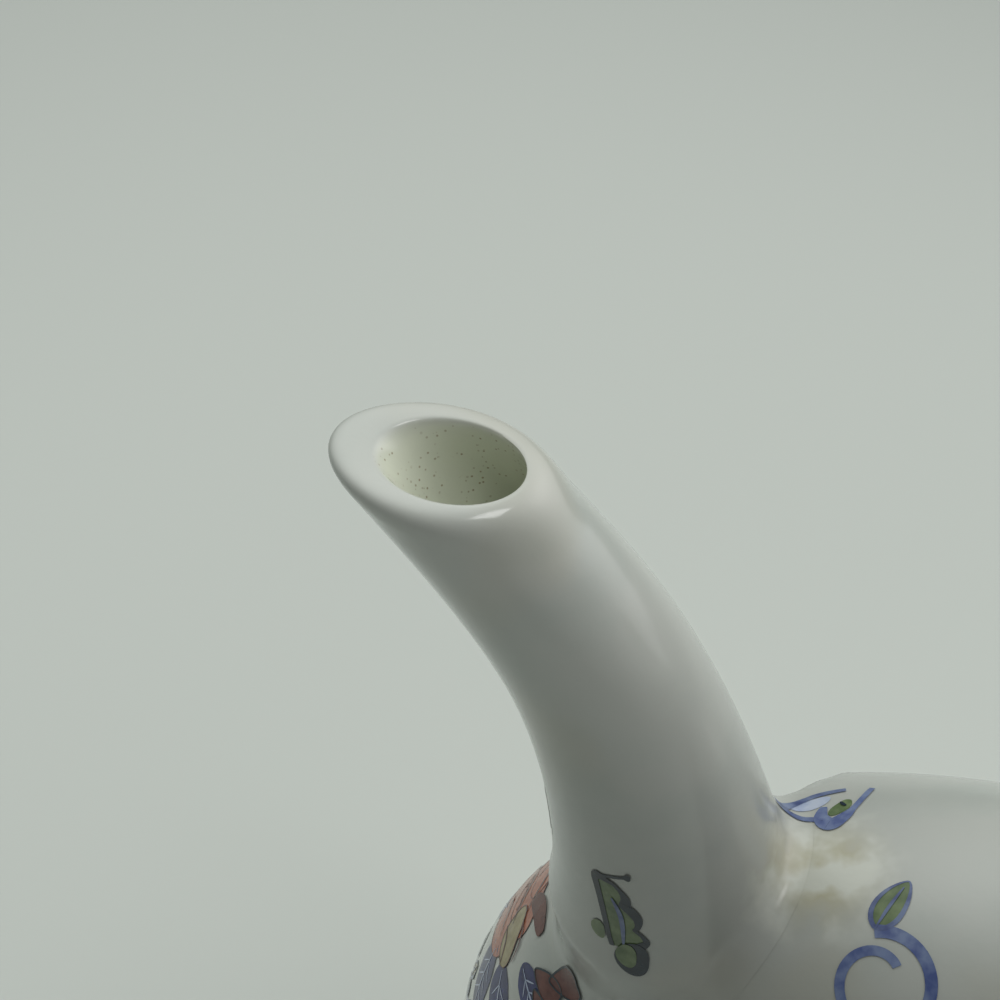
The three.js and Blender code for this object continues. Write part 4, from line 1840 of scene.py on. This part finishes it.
        daub(Enamel.LILAC, -0.52, 0.12, 0.75 * way, 0.85, 0.42, 0.05)
        self._line(canvas, laid((-1.0, -0.3), (-0.86, 0.12), (-0.5, 0.5), (0.05, 0.78)), lambda s: 0.95 - 0.3 * s, 24)
        self._line(canvas, laid((-1.02, -0.32), (-0.55, -0.42), (-0.1, -0.36)), lambda s: 0.5 + 0.2 * s, 18)
        daub(Enamel.GREEN, 0.16, 0.05, 1.2 * way, 0.62, 0.36, 0.06)
        cup = laid((-0.2, 0.02), (-0.16, -0.34), (0.1, -0.52), (0.36, -0.22), (0.5, 0.22), (0.62, 0.9))
        brush.stroke(
            Enamel.BLUE, canvas, cup, lambda s: 0.6 + 1.0 * math.sin(math.pi * min(s * 1.4, 1.0)), 36, 0.11,
        )
        daub(Enamel.TEAL, 0.18, 0.16, 0.6, 0.2, 0.09, 0.14)

    def coil(self, canvas: Canvas, radius: float, way: int = 1) -> None:
        """Paint a round coil with a leaf above it.

        Args:
            canvas: Where it goes.
            radius: Its radius.
            way: 1 or -1, the side it turns to.
        """
        def path(share: float) -> tuple[float, float]:
            """Point of the coil."""
            r = radius * (1 - 0.55 * max(0.0, share - 0.55) / 0.45)
            angle = 1.35 + share * 1.15 * math.tau
            return way * r * math.cos(angle), r * math.sin(angle)

        self.brush.stroke(Enamel.BLUE, canvas, path, lambda s: 1.1 - 0.3 * s, 60)
        place = canvas.moved(way * radius * 0.2, radius * 1.05, math.pi / 2 + 0.4 * way)
        self.leaf(place, radius * 1.2, radius * 0.66, 0.3 * way)


@dataclass
class Decoration:
    """Where the painting goes on the pot and the lid."""

    form: RingForm
    spout: Spout
    neck: Neck
    lid: Lid

    # Angles round the ring and the tube in degrees, then a size in millimetres or a turn in radians.
    RIM_FLOWERS = (
        (196, 14, 9.0), (220, -12, 9.0), (64, 12, 8.0), (40, -16, 7.5), (0, 0, 9.0), (-48, 10, 8.5),
    )
    RIM_SPRAYS = (
        (152, 42, 0.4), (182, -26, 2.2), (207, 20, 0.4), (236, 8, 0.3), (20, -14, 1.0), (52, -26, 2.4),
        (-22, 18, -1.2),
    )

    def paint(
        self, pot: Sequence[Piece], lid: Sequence[Piece],
        materials: dict[Enamel, Material],
    ) -> None:
        """Paint the pot and the lid.

        Args:
            pot: The pot's glazed pieces.
            lid: The lid's glazed pieces.
            materials: The paints.
        """
        tree = self._tree(pot)
        hand = FlowerScroll(Painter(Body.POT, "painted"), 11)
        self._rim_flowers(hand, tree)
        self._faces(hand, tree)
        self._spout(hand, tree)
        self._bands(hand.brush, tree)
        hand.brush.finish(materials)
        lid_hand = FlowerScroll(Painter(Body.LID, "lid_painted"), 5)
        self._lid(lid_hand, self._tree(lid))
        lid_hand.brush.finish(materials)

    @staticmethod
    def _tree(pieces: Sequence[Piece]) -> BVHTree:
        """One search tree for several pieces.

        Args:
            pieces: The pieces.

        Returns:
            The search tree.
        """
        points, faces = [], []
        for piece in pieces:
            start = len(points)
            points += [vert.co.copy() for vert in piece.data.vertices]
            faces += [[start + i for i in polygon.vertices] for polygon in piece.data.polygons]
        return BVHTree.FromPolygons(points, faces)

    def ring_canvas(self, tree: BVHTree, around: float, across: float) -> Canvas:
        """A canvas on the ring, with x round the ring and y round the tube.

        Args:
            tree: The pot's search tree.
            around: Angle round the ring in degrees.
            across: Angle round the tube in degrees.

        Returns:
            The canvas.
        """
        reach = self.form.sweep + self.form.tube * math.cos(math.radians(across))

        def cast(x: float, y: float) -> tuple[Vector, Vector, float]:
            """Ray on to the ring from outside."""
            u = math.radians(around) + x * MM / reach
            v = math.radians(across) + y * MM / self.form.tube
            origin, normal = self.form.surface(u, v, 6 * MM)
            return origin, -normal, 6 * MM

        return Canvas(tree, cast)

    def axis_canvas(
        self, tree: BVHTree, height: float, radius: float, dip: float = 0.0, oval: float = 1.0, slack: float = 4.0,
    ) -> Canvas:
        """A canvas round the upright axis, with x round it and y up.

        Args:
            tree: The search tree.
            height: Height of y = 0.
            radius: The surface's rough radius.
            dip: Degrees by which the rays point down.
            oval: Depth over length of an oval.
            slack: How far the surface may be from that radius, in millimetres.

        Returns:
            The canvas.
        """
        def cast(x: float, y: float) -> tuple[Vector, Vector, float]:
            """Ray towards the axis."""
            angle = x * MM / radius
            way = Vector((math.cos(angle), math.sin(angle) * oval, 0.0))
            aim = Vector((self.form.centre.x, 0.0, height)) + way * radius
            normal = (Vector((math.cos(angle) * oval, math.sin(angle), 0.0)).normalized() * math.cos(math.radians(dip))
                      + UP * math.sin(math.radians(dip)))
            climb = (UP - normal * normal.z).normalized()
            return aim + climb * y * MM + normal * 12 * MM, -normal, 12 * MM

        return Canvas(tree, cast, slack=slack * MM)

    def _rim_flowers(self, hand: FlowerScroll, tree: BVHTree) -> None:
        """Paint the outer rim.

        Args:
            hand: The painter's hand.
            tree: The pot's search tree.
        """
        hand.peony(self.ring_canvas(tree, 160.0, 0.0), 7.4)
        hand.bud_scroll(self.ring_canvas(tree, 126.0, 21.0), 4.3, -1)
        hand.coil(self.ring_canvas(tree, 119.4, -28.0), 4.1, 1)
        for around, across, size in self.RIM_FLOWERS:
            place = self.ring_canvas(tree, around, across).moved(0, 0, hand.chance.uniform(-0.5, 0.5))
            hand.flower(place, size)
            for k in range(4):
                out = place.moved(0, 0, math.pi / 4 + k * math.pi / 2 + 0.2).moved(size * 1.05, 0)
                hand.leaf(out, size * 0.8, size * 0.42, size * 0.15 * (-1) ** k)
        for around, across, turn in self.RIM_SPRAYS:
            place = self.ring_canvas(tree, around, across).moved(0, 0, turn)
            hand.spray(place, 11.0)
            hand.tendril(place.moved(0, 0, math.pi), 4.0, 2.2)
            hand.tendril(place.moved(0, 0, math.pi * 0.7), 3.2, -1.8)

    def _faces(self, hand: FlowerScroll, tree: BVHTree) -> None:
        """Paint the scroll on the front and rear of the ring.

        Args:
            hand: The painter's hand.
            tree: The pot's search tree.
        """
        for across in (-88, 88):
            for k in range(8):
                around = 22.5 + 45 * k
                place = self.ring_canvas(tree, around, across + 10 * (-1) ** k)
                place = place.moved(0, 0, hand.chance.uniform(-0.4, 0.4))
                hand.flower(place, 9.0, 8)
                for j in range(4):
                    out = place.moved(0, 0, math.pi / 4 + j * math.pi / 2).moved(9.4, 0)
                    hand.leaf(out, 6.4, 3.4, 1.1 * (-1) ** j, Enamel.YELLOW if j % 2 else Enamel.GREEN)
                between = self.ring_canvas(tree, around + 22.5, across)
                for way, turn in ((-1, 0.0), (1, math.pi)):
                    hand.tendril(between.moved(7 * way, -2 * way, turn + 0.2), 6.0, 2.6)
                for way in (1, -1):
                    hand.leaf(between.moved(0, 3.0 * way, way * math.pi / 2), 6.0, 3.0, 0.8, Enamel.BLUE)

    def _spout(self, hand: FlowerScroll, tree: BVHTree) -> None:
        """Paint the leaves at the spout's root.

        Args:
            hand: The painter's hand.
            tree: The pot's search tree.
        """
        course = self.spout.course

        def around_spout(start: float) -> Canvas:
            """A canvas on the spout, with x up it and y round it from an angle in degrees."""
            def cast(x: float, y: float) -> tuple[Vector, Vector, float]:
                """Ray towards the spout's centreline."""
                centre, tangent = course.at(max(x, 0.0) * MM / course.length)
                centre = centre + tangent * min(x, 0.0) * MM
                radius = self.spout.outer_radius(max(x, 0.0) * MM / course.length)
                angle = math.radians(start) + y * MM / radius
                way = SIDE.cross(tangent).normalized() * math.cos(angle) + SIDE * math.sin(angle)
                return centre + way * (radius + 8 * MM), -way, 8 * MM
            return Canvas(tree, cast, slack=4.5 * MM)

        for side in (1, -1):
            place = around_spout(-102.0 * side)
            hand.toothed_leaf(place.moved(4.2, 0.2 * side, -0.1 * side), 9.8, side)
        hand.toothed_leaf(around_spout(-164.0).moved(9.5, 0.0, 0.1), 7.4, -1)
        hand.leaf(around_spout(145.0).moved(8.0, 0.0, 0.4), 6.0, 2.8, 0.6, Enamel.BLUE)

    def _bands(self, painter: Painter, tree: BVHTree) -> None:
        """Paint the blue lines round the neck and the foot.

        Args:
            painter: The paint.
            tree: The pot's search tree.
        """
        turn = math.tau

        def around(canvas: Canvas, radius: float, heights: Sequence[tuple[float, float]]) -> None:
            """Draw rings at heights, each with a width."""
            for height, width in heights:
                painter.stroke(
                    Enamel.BLUE_LINE, canvas, lambda s: (s * turn * radius / MM, height), lambda s: width, 160,
                )

        neck = self.axis_canvas(tree, self.form.top, self.neck.radius)
        around(neck, self.neck.radius, ((2.9, 0.35), (1.9, 0.6)))
        foot = self.axis_canvas(tree, 4.0 * MM, 28 * MM, 0.0, 0.62, 6.0)
        around(foot, 28 * MM, ((-1.8, 0.7), (-0.6, 0.35)))
        for k in range(20):
            place = neck.moved(turn * 15.5 * k / 20, 0.9, -math.pi / 2)
            painter.fill(Enamel.BLUE, place, leaf_outline(2.6, 2.2))

    def _lid(self, hand: FlowerScroll, tree: BVHTree) -> None:
        """Paint the lid's dome and knob.

        Args:
            hand: The painter's hand.
            tree: The lid's search tree.
        """
        painter, radius = hand.brush, self.lid.radius
        edge = self.axis_canvas(tree, self.lid.base + 1.3 * MM, radius)
        painter.stroke(Enamel.BLUE_LINE, edge, lambda s: (s * math.tau * radius / MM, 0.0), lambda s: 0.6, 160)
        dome = self.axis_canvas(tree, self.lid.base + self.lid.crown(11.5 * MM), 11.5 * MM, 50.0)
        for k in range(4):
            place = dome.moved(math.tau * 11.5 * k / 4, 0.0)
            hand.flower(place, 3.9, 6)
            for way in (0.0, math.pi):
                hand.leaf(place.moved(0, 0, way).moved(4.0, 0), 4.4, 2.4, 0.6, Enamel.GREEN)
        top = self.axis_canvas(tree, self.lid.base + self.lid.crown(6.3 * MM), 6.3 * MM, 70.0)
        painter.stroke(Enamel.BLUE_LINE, top, lambda s: (s * math.tau * 6.3, 0.0), lambda s: 0.4, 110)
        middle = self.lid.top + self.lid.seat + self.lid.knob_stem + self.lid.knob_radius * 0.8
        bud = self.axis_canvas(tree, middle, self.lid.knob_radius, 30.0)
        for k in range(8):
            place = bud.moved(math.tau * 5.6 * k / 8, -0.5, math.pi / 2)
            painter.fill(Enamel.RED if k % 2 else Enamel.BLUE, place, petal_outline(4.4, 3.0))


# Studio


@dataclass(frozen=True)
class SoftLight:
    """A soft bright patch of the room, such as a window behind a blind."""

    bearing: float
    elevation: float
    spread: float
    strength: float
    colour: Rgba

    @property
    def direction(self) -> tuple[float, float, float]:
        """Direction of the patch's middle, from +X towards +Y and up."""
        a, e = math.radians(self.bearing), math.radians(self.elevation)
        return (math.cos(e) * math.cos(a), math.cos(e) * math.sin(a), math.sin(e))


@dataclass
class Studio:
    """The pale floor, the soft lights and the photograph's camera."""

    form: RingForm
    bearing: float = -8.9
    elevation: float = 51.8
    roll: float = 12.7
    lens: float = 54.54
    stand: Vector = Vector((-60.47 * MM, -67.23 * MM, 171.03 * MM))
    haze: tuple[float, float, float] = (0.97, 1.05, 1.0)
    haze_rise: tuple[float, float] = (0.03, 0.3)
    haze_light: tuple[float, float] = (0.15, 0.02)
    floor_size: float = 40.0
    floor_roughness: float = 0.85
    # The floor's colour is pale near its middle and darker far off: a painted pool of light.
    painted_pool_reach: tuple[float, float] = (0.17, 0.75)
    painted_pool_colours: tuple[Rgba, Rgba] = (srgb(198, 203, 197), srgb(116, 121, 117))
    lights: tuple[SoftLight, ...] = (
        SoftLight(39.0, 37.0, 0.60, 2.02, srgb(255, 255, 255)), SoftLight(137.0, 46.0, 0.60, 1.75, srgb(250, 255, 252)),
    )
    ceiling: tuple[float, float, float] = (0.08, -0.10, 1.35)
    ceiling_size: float = 0.4
    ceiling_power: float = 2.0

    def build(self) -> None:
        """Set up the floor, the light, the view and the camera."""
        self._floor()
        self._room()
        light = bpy.data.lights.new("ceiling", "AREA")
        light.size, light.energy = self.ceiling_size, self.ceiling_power
        lamp = bpy.data.objects.new("ceiling", light)
        lamp.location = self.ceiling
        bpy.context.scene.collection.objects.link(lamp)
        bpy.context.scene.view_settings.view_transform = "Standard"
        self._camera()

    def _room(self) -> None:
        """Light the scene from a dim hazy room with soft bright patches."""
        world = bpy.data.worlds.new("room")
        world.use_nodes = True
        wiring = Wiring(world.node_tree)
        toward = wiring.coords["Generated"]
        height = wiring.vector("DOT_PRODUCT", toward, UP)
        total = wiring.scaled(self.haze, wiring.ranged(height, *self.haze_rise, *self.haze_light, smooth=True))
        for light in self.lights:
            sharpness = 2 / light.spread ** 2
            facing = wiring.vector("DOT_PRODUCT", toward, light.direction)
            fade = wiring.number("EXPONENT", wiring.number("MULTIPLY_ADD", facing, sharpness, -sharpness))
            glow = wiring.scaled([channel * light.strength for channel in light.colour[:3]], fade)
            total = wiring.vector("ADD", total, glow, output="Vector")
        wiring.tree.links.new(total, wiring.tree.nodes["Background"].inputs["Color"])
        bpy.context.scene.world = world

    def _floor(self) -> None:
        """Lay the floor, darker with distance from its middle as a painted pool of light."""
        mesh = bmesh.new()
        bmesh.ops.create_grid(mesh, x_segments=4, y_segments=4, size=self.floor_size)
        floor = as_object("floor", mesh)
        paper, wiring = Wiring.start("floor_paper", {"Roughness": self.floor_roughness})
        away = wiring.vector("LENGTH", wiring.coords["Object"])
        # Painted pool of light: the floor's colour darkens with distance from its middle.
        fade = wiring.ranged(away, *self.painted_pool_reach, smooth=True)
        wiring.feed("Base Color", wiring.blend(fade, *self.painted_pool_colours))
        floor.data.materials.append(paper)

    def _camera(self) -> None:
        """Put the camera where the photograph was taken."""
        a, e, roll = (math.radians(v) for v in (self.bearing, self.elevation, self.roll))
        ahead = Vector((math.sin(a) * math.cos(e), math.cos(a) * math.cos(e), -math.sin(e)))
        right = Vector((math.cos(a), -math.sin(a), 0.0))
        above = right.cross(ahead)
        across = right * math.cos(roll) + above * math.sin(roll)
        upward = above * math.cos(roll) - right * math.sin(roll)
        camera = bpy.data.objects.new("camera", bpy.data.cameras.new("camera"))
        camera.data.lens = self.lens
        camera.data.clip_start = 0.01
        camera.matrix_world = Matrix.Translation(self.form.centre + self.stand) @ Matrix(
            (across, upward, -ahead)
        ).transposed().to_4x4()
        bpy.context.scene.collection.objects.link(camera)
        bpy.context.scene.camera = camera


def main() -> None:
    """Build the teapot, paint it and light it."""
    logging.basicConfig(level=logging.INFO, format="%(name)s %(message)s")
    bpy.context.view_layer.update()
    form = RingForm.from_nodes()
    spout, neck = Spout(form), Neck(form)
    lid = Lid(form, neck)
    pot = [
        RingBody(form).build(spout.throat_axis), spout.build(), neck.build(),
        EarHandle(form).build(), FootRing(form).build(),
    ]
    cover = lid.build()
    glaze, clay = PORCELAIN.make(), BISCUIT.make()
    # The ring and the spout take painted shade round the spout's joint, and a matt creamy patch beside it.
    stained_and_shaded = PORCELAIN.make(
        form.surface(math.radians(spout.root_angle), 0.0)[0],
        form.surface(math.radians(125.0), math.radians(-1.0), 1.0 * MM)[0],
    )
    for piece in pot + cover:
        piece.data.materials.clear()
        piece.data.materials.append(clay if "flange" in piece.name else stained_and_shaded if piece in pot[:2] else glaze)
    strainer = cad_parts["spout_strainer"]
    strainer.data.materials.clear()
    strainer.data.materials.append(clay)
    materials = {colour: colour.value.make() for colour in Enamel}
    Decoration(form, spout, neck, lid).paint(pot, [cover[0], cover[2]], materials)
    Studio(form).build()


if __name__ == "__main__":
    main()
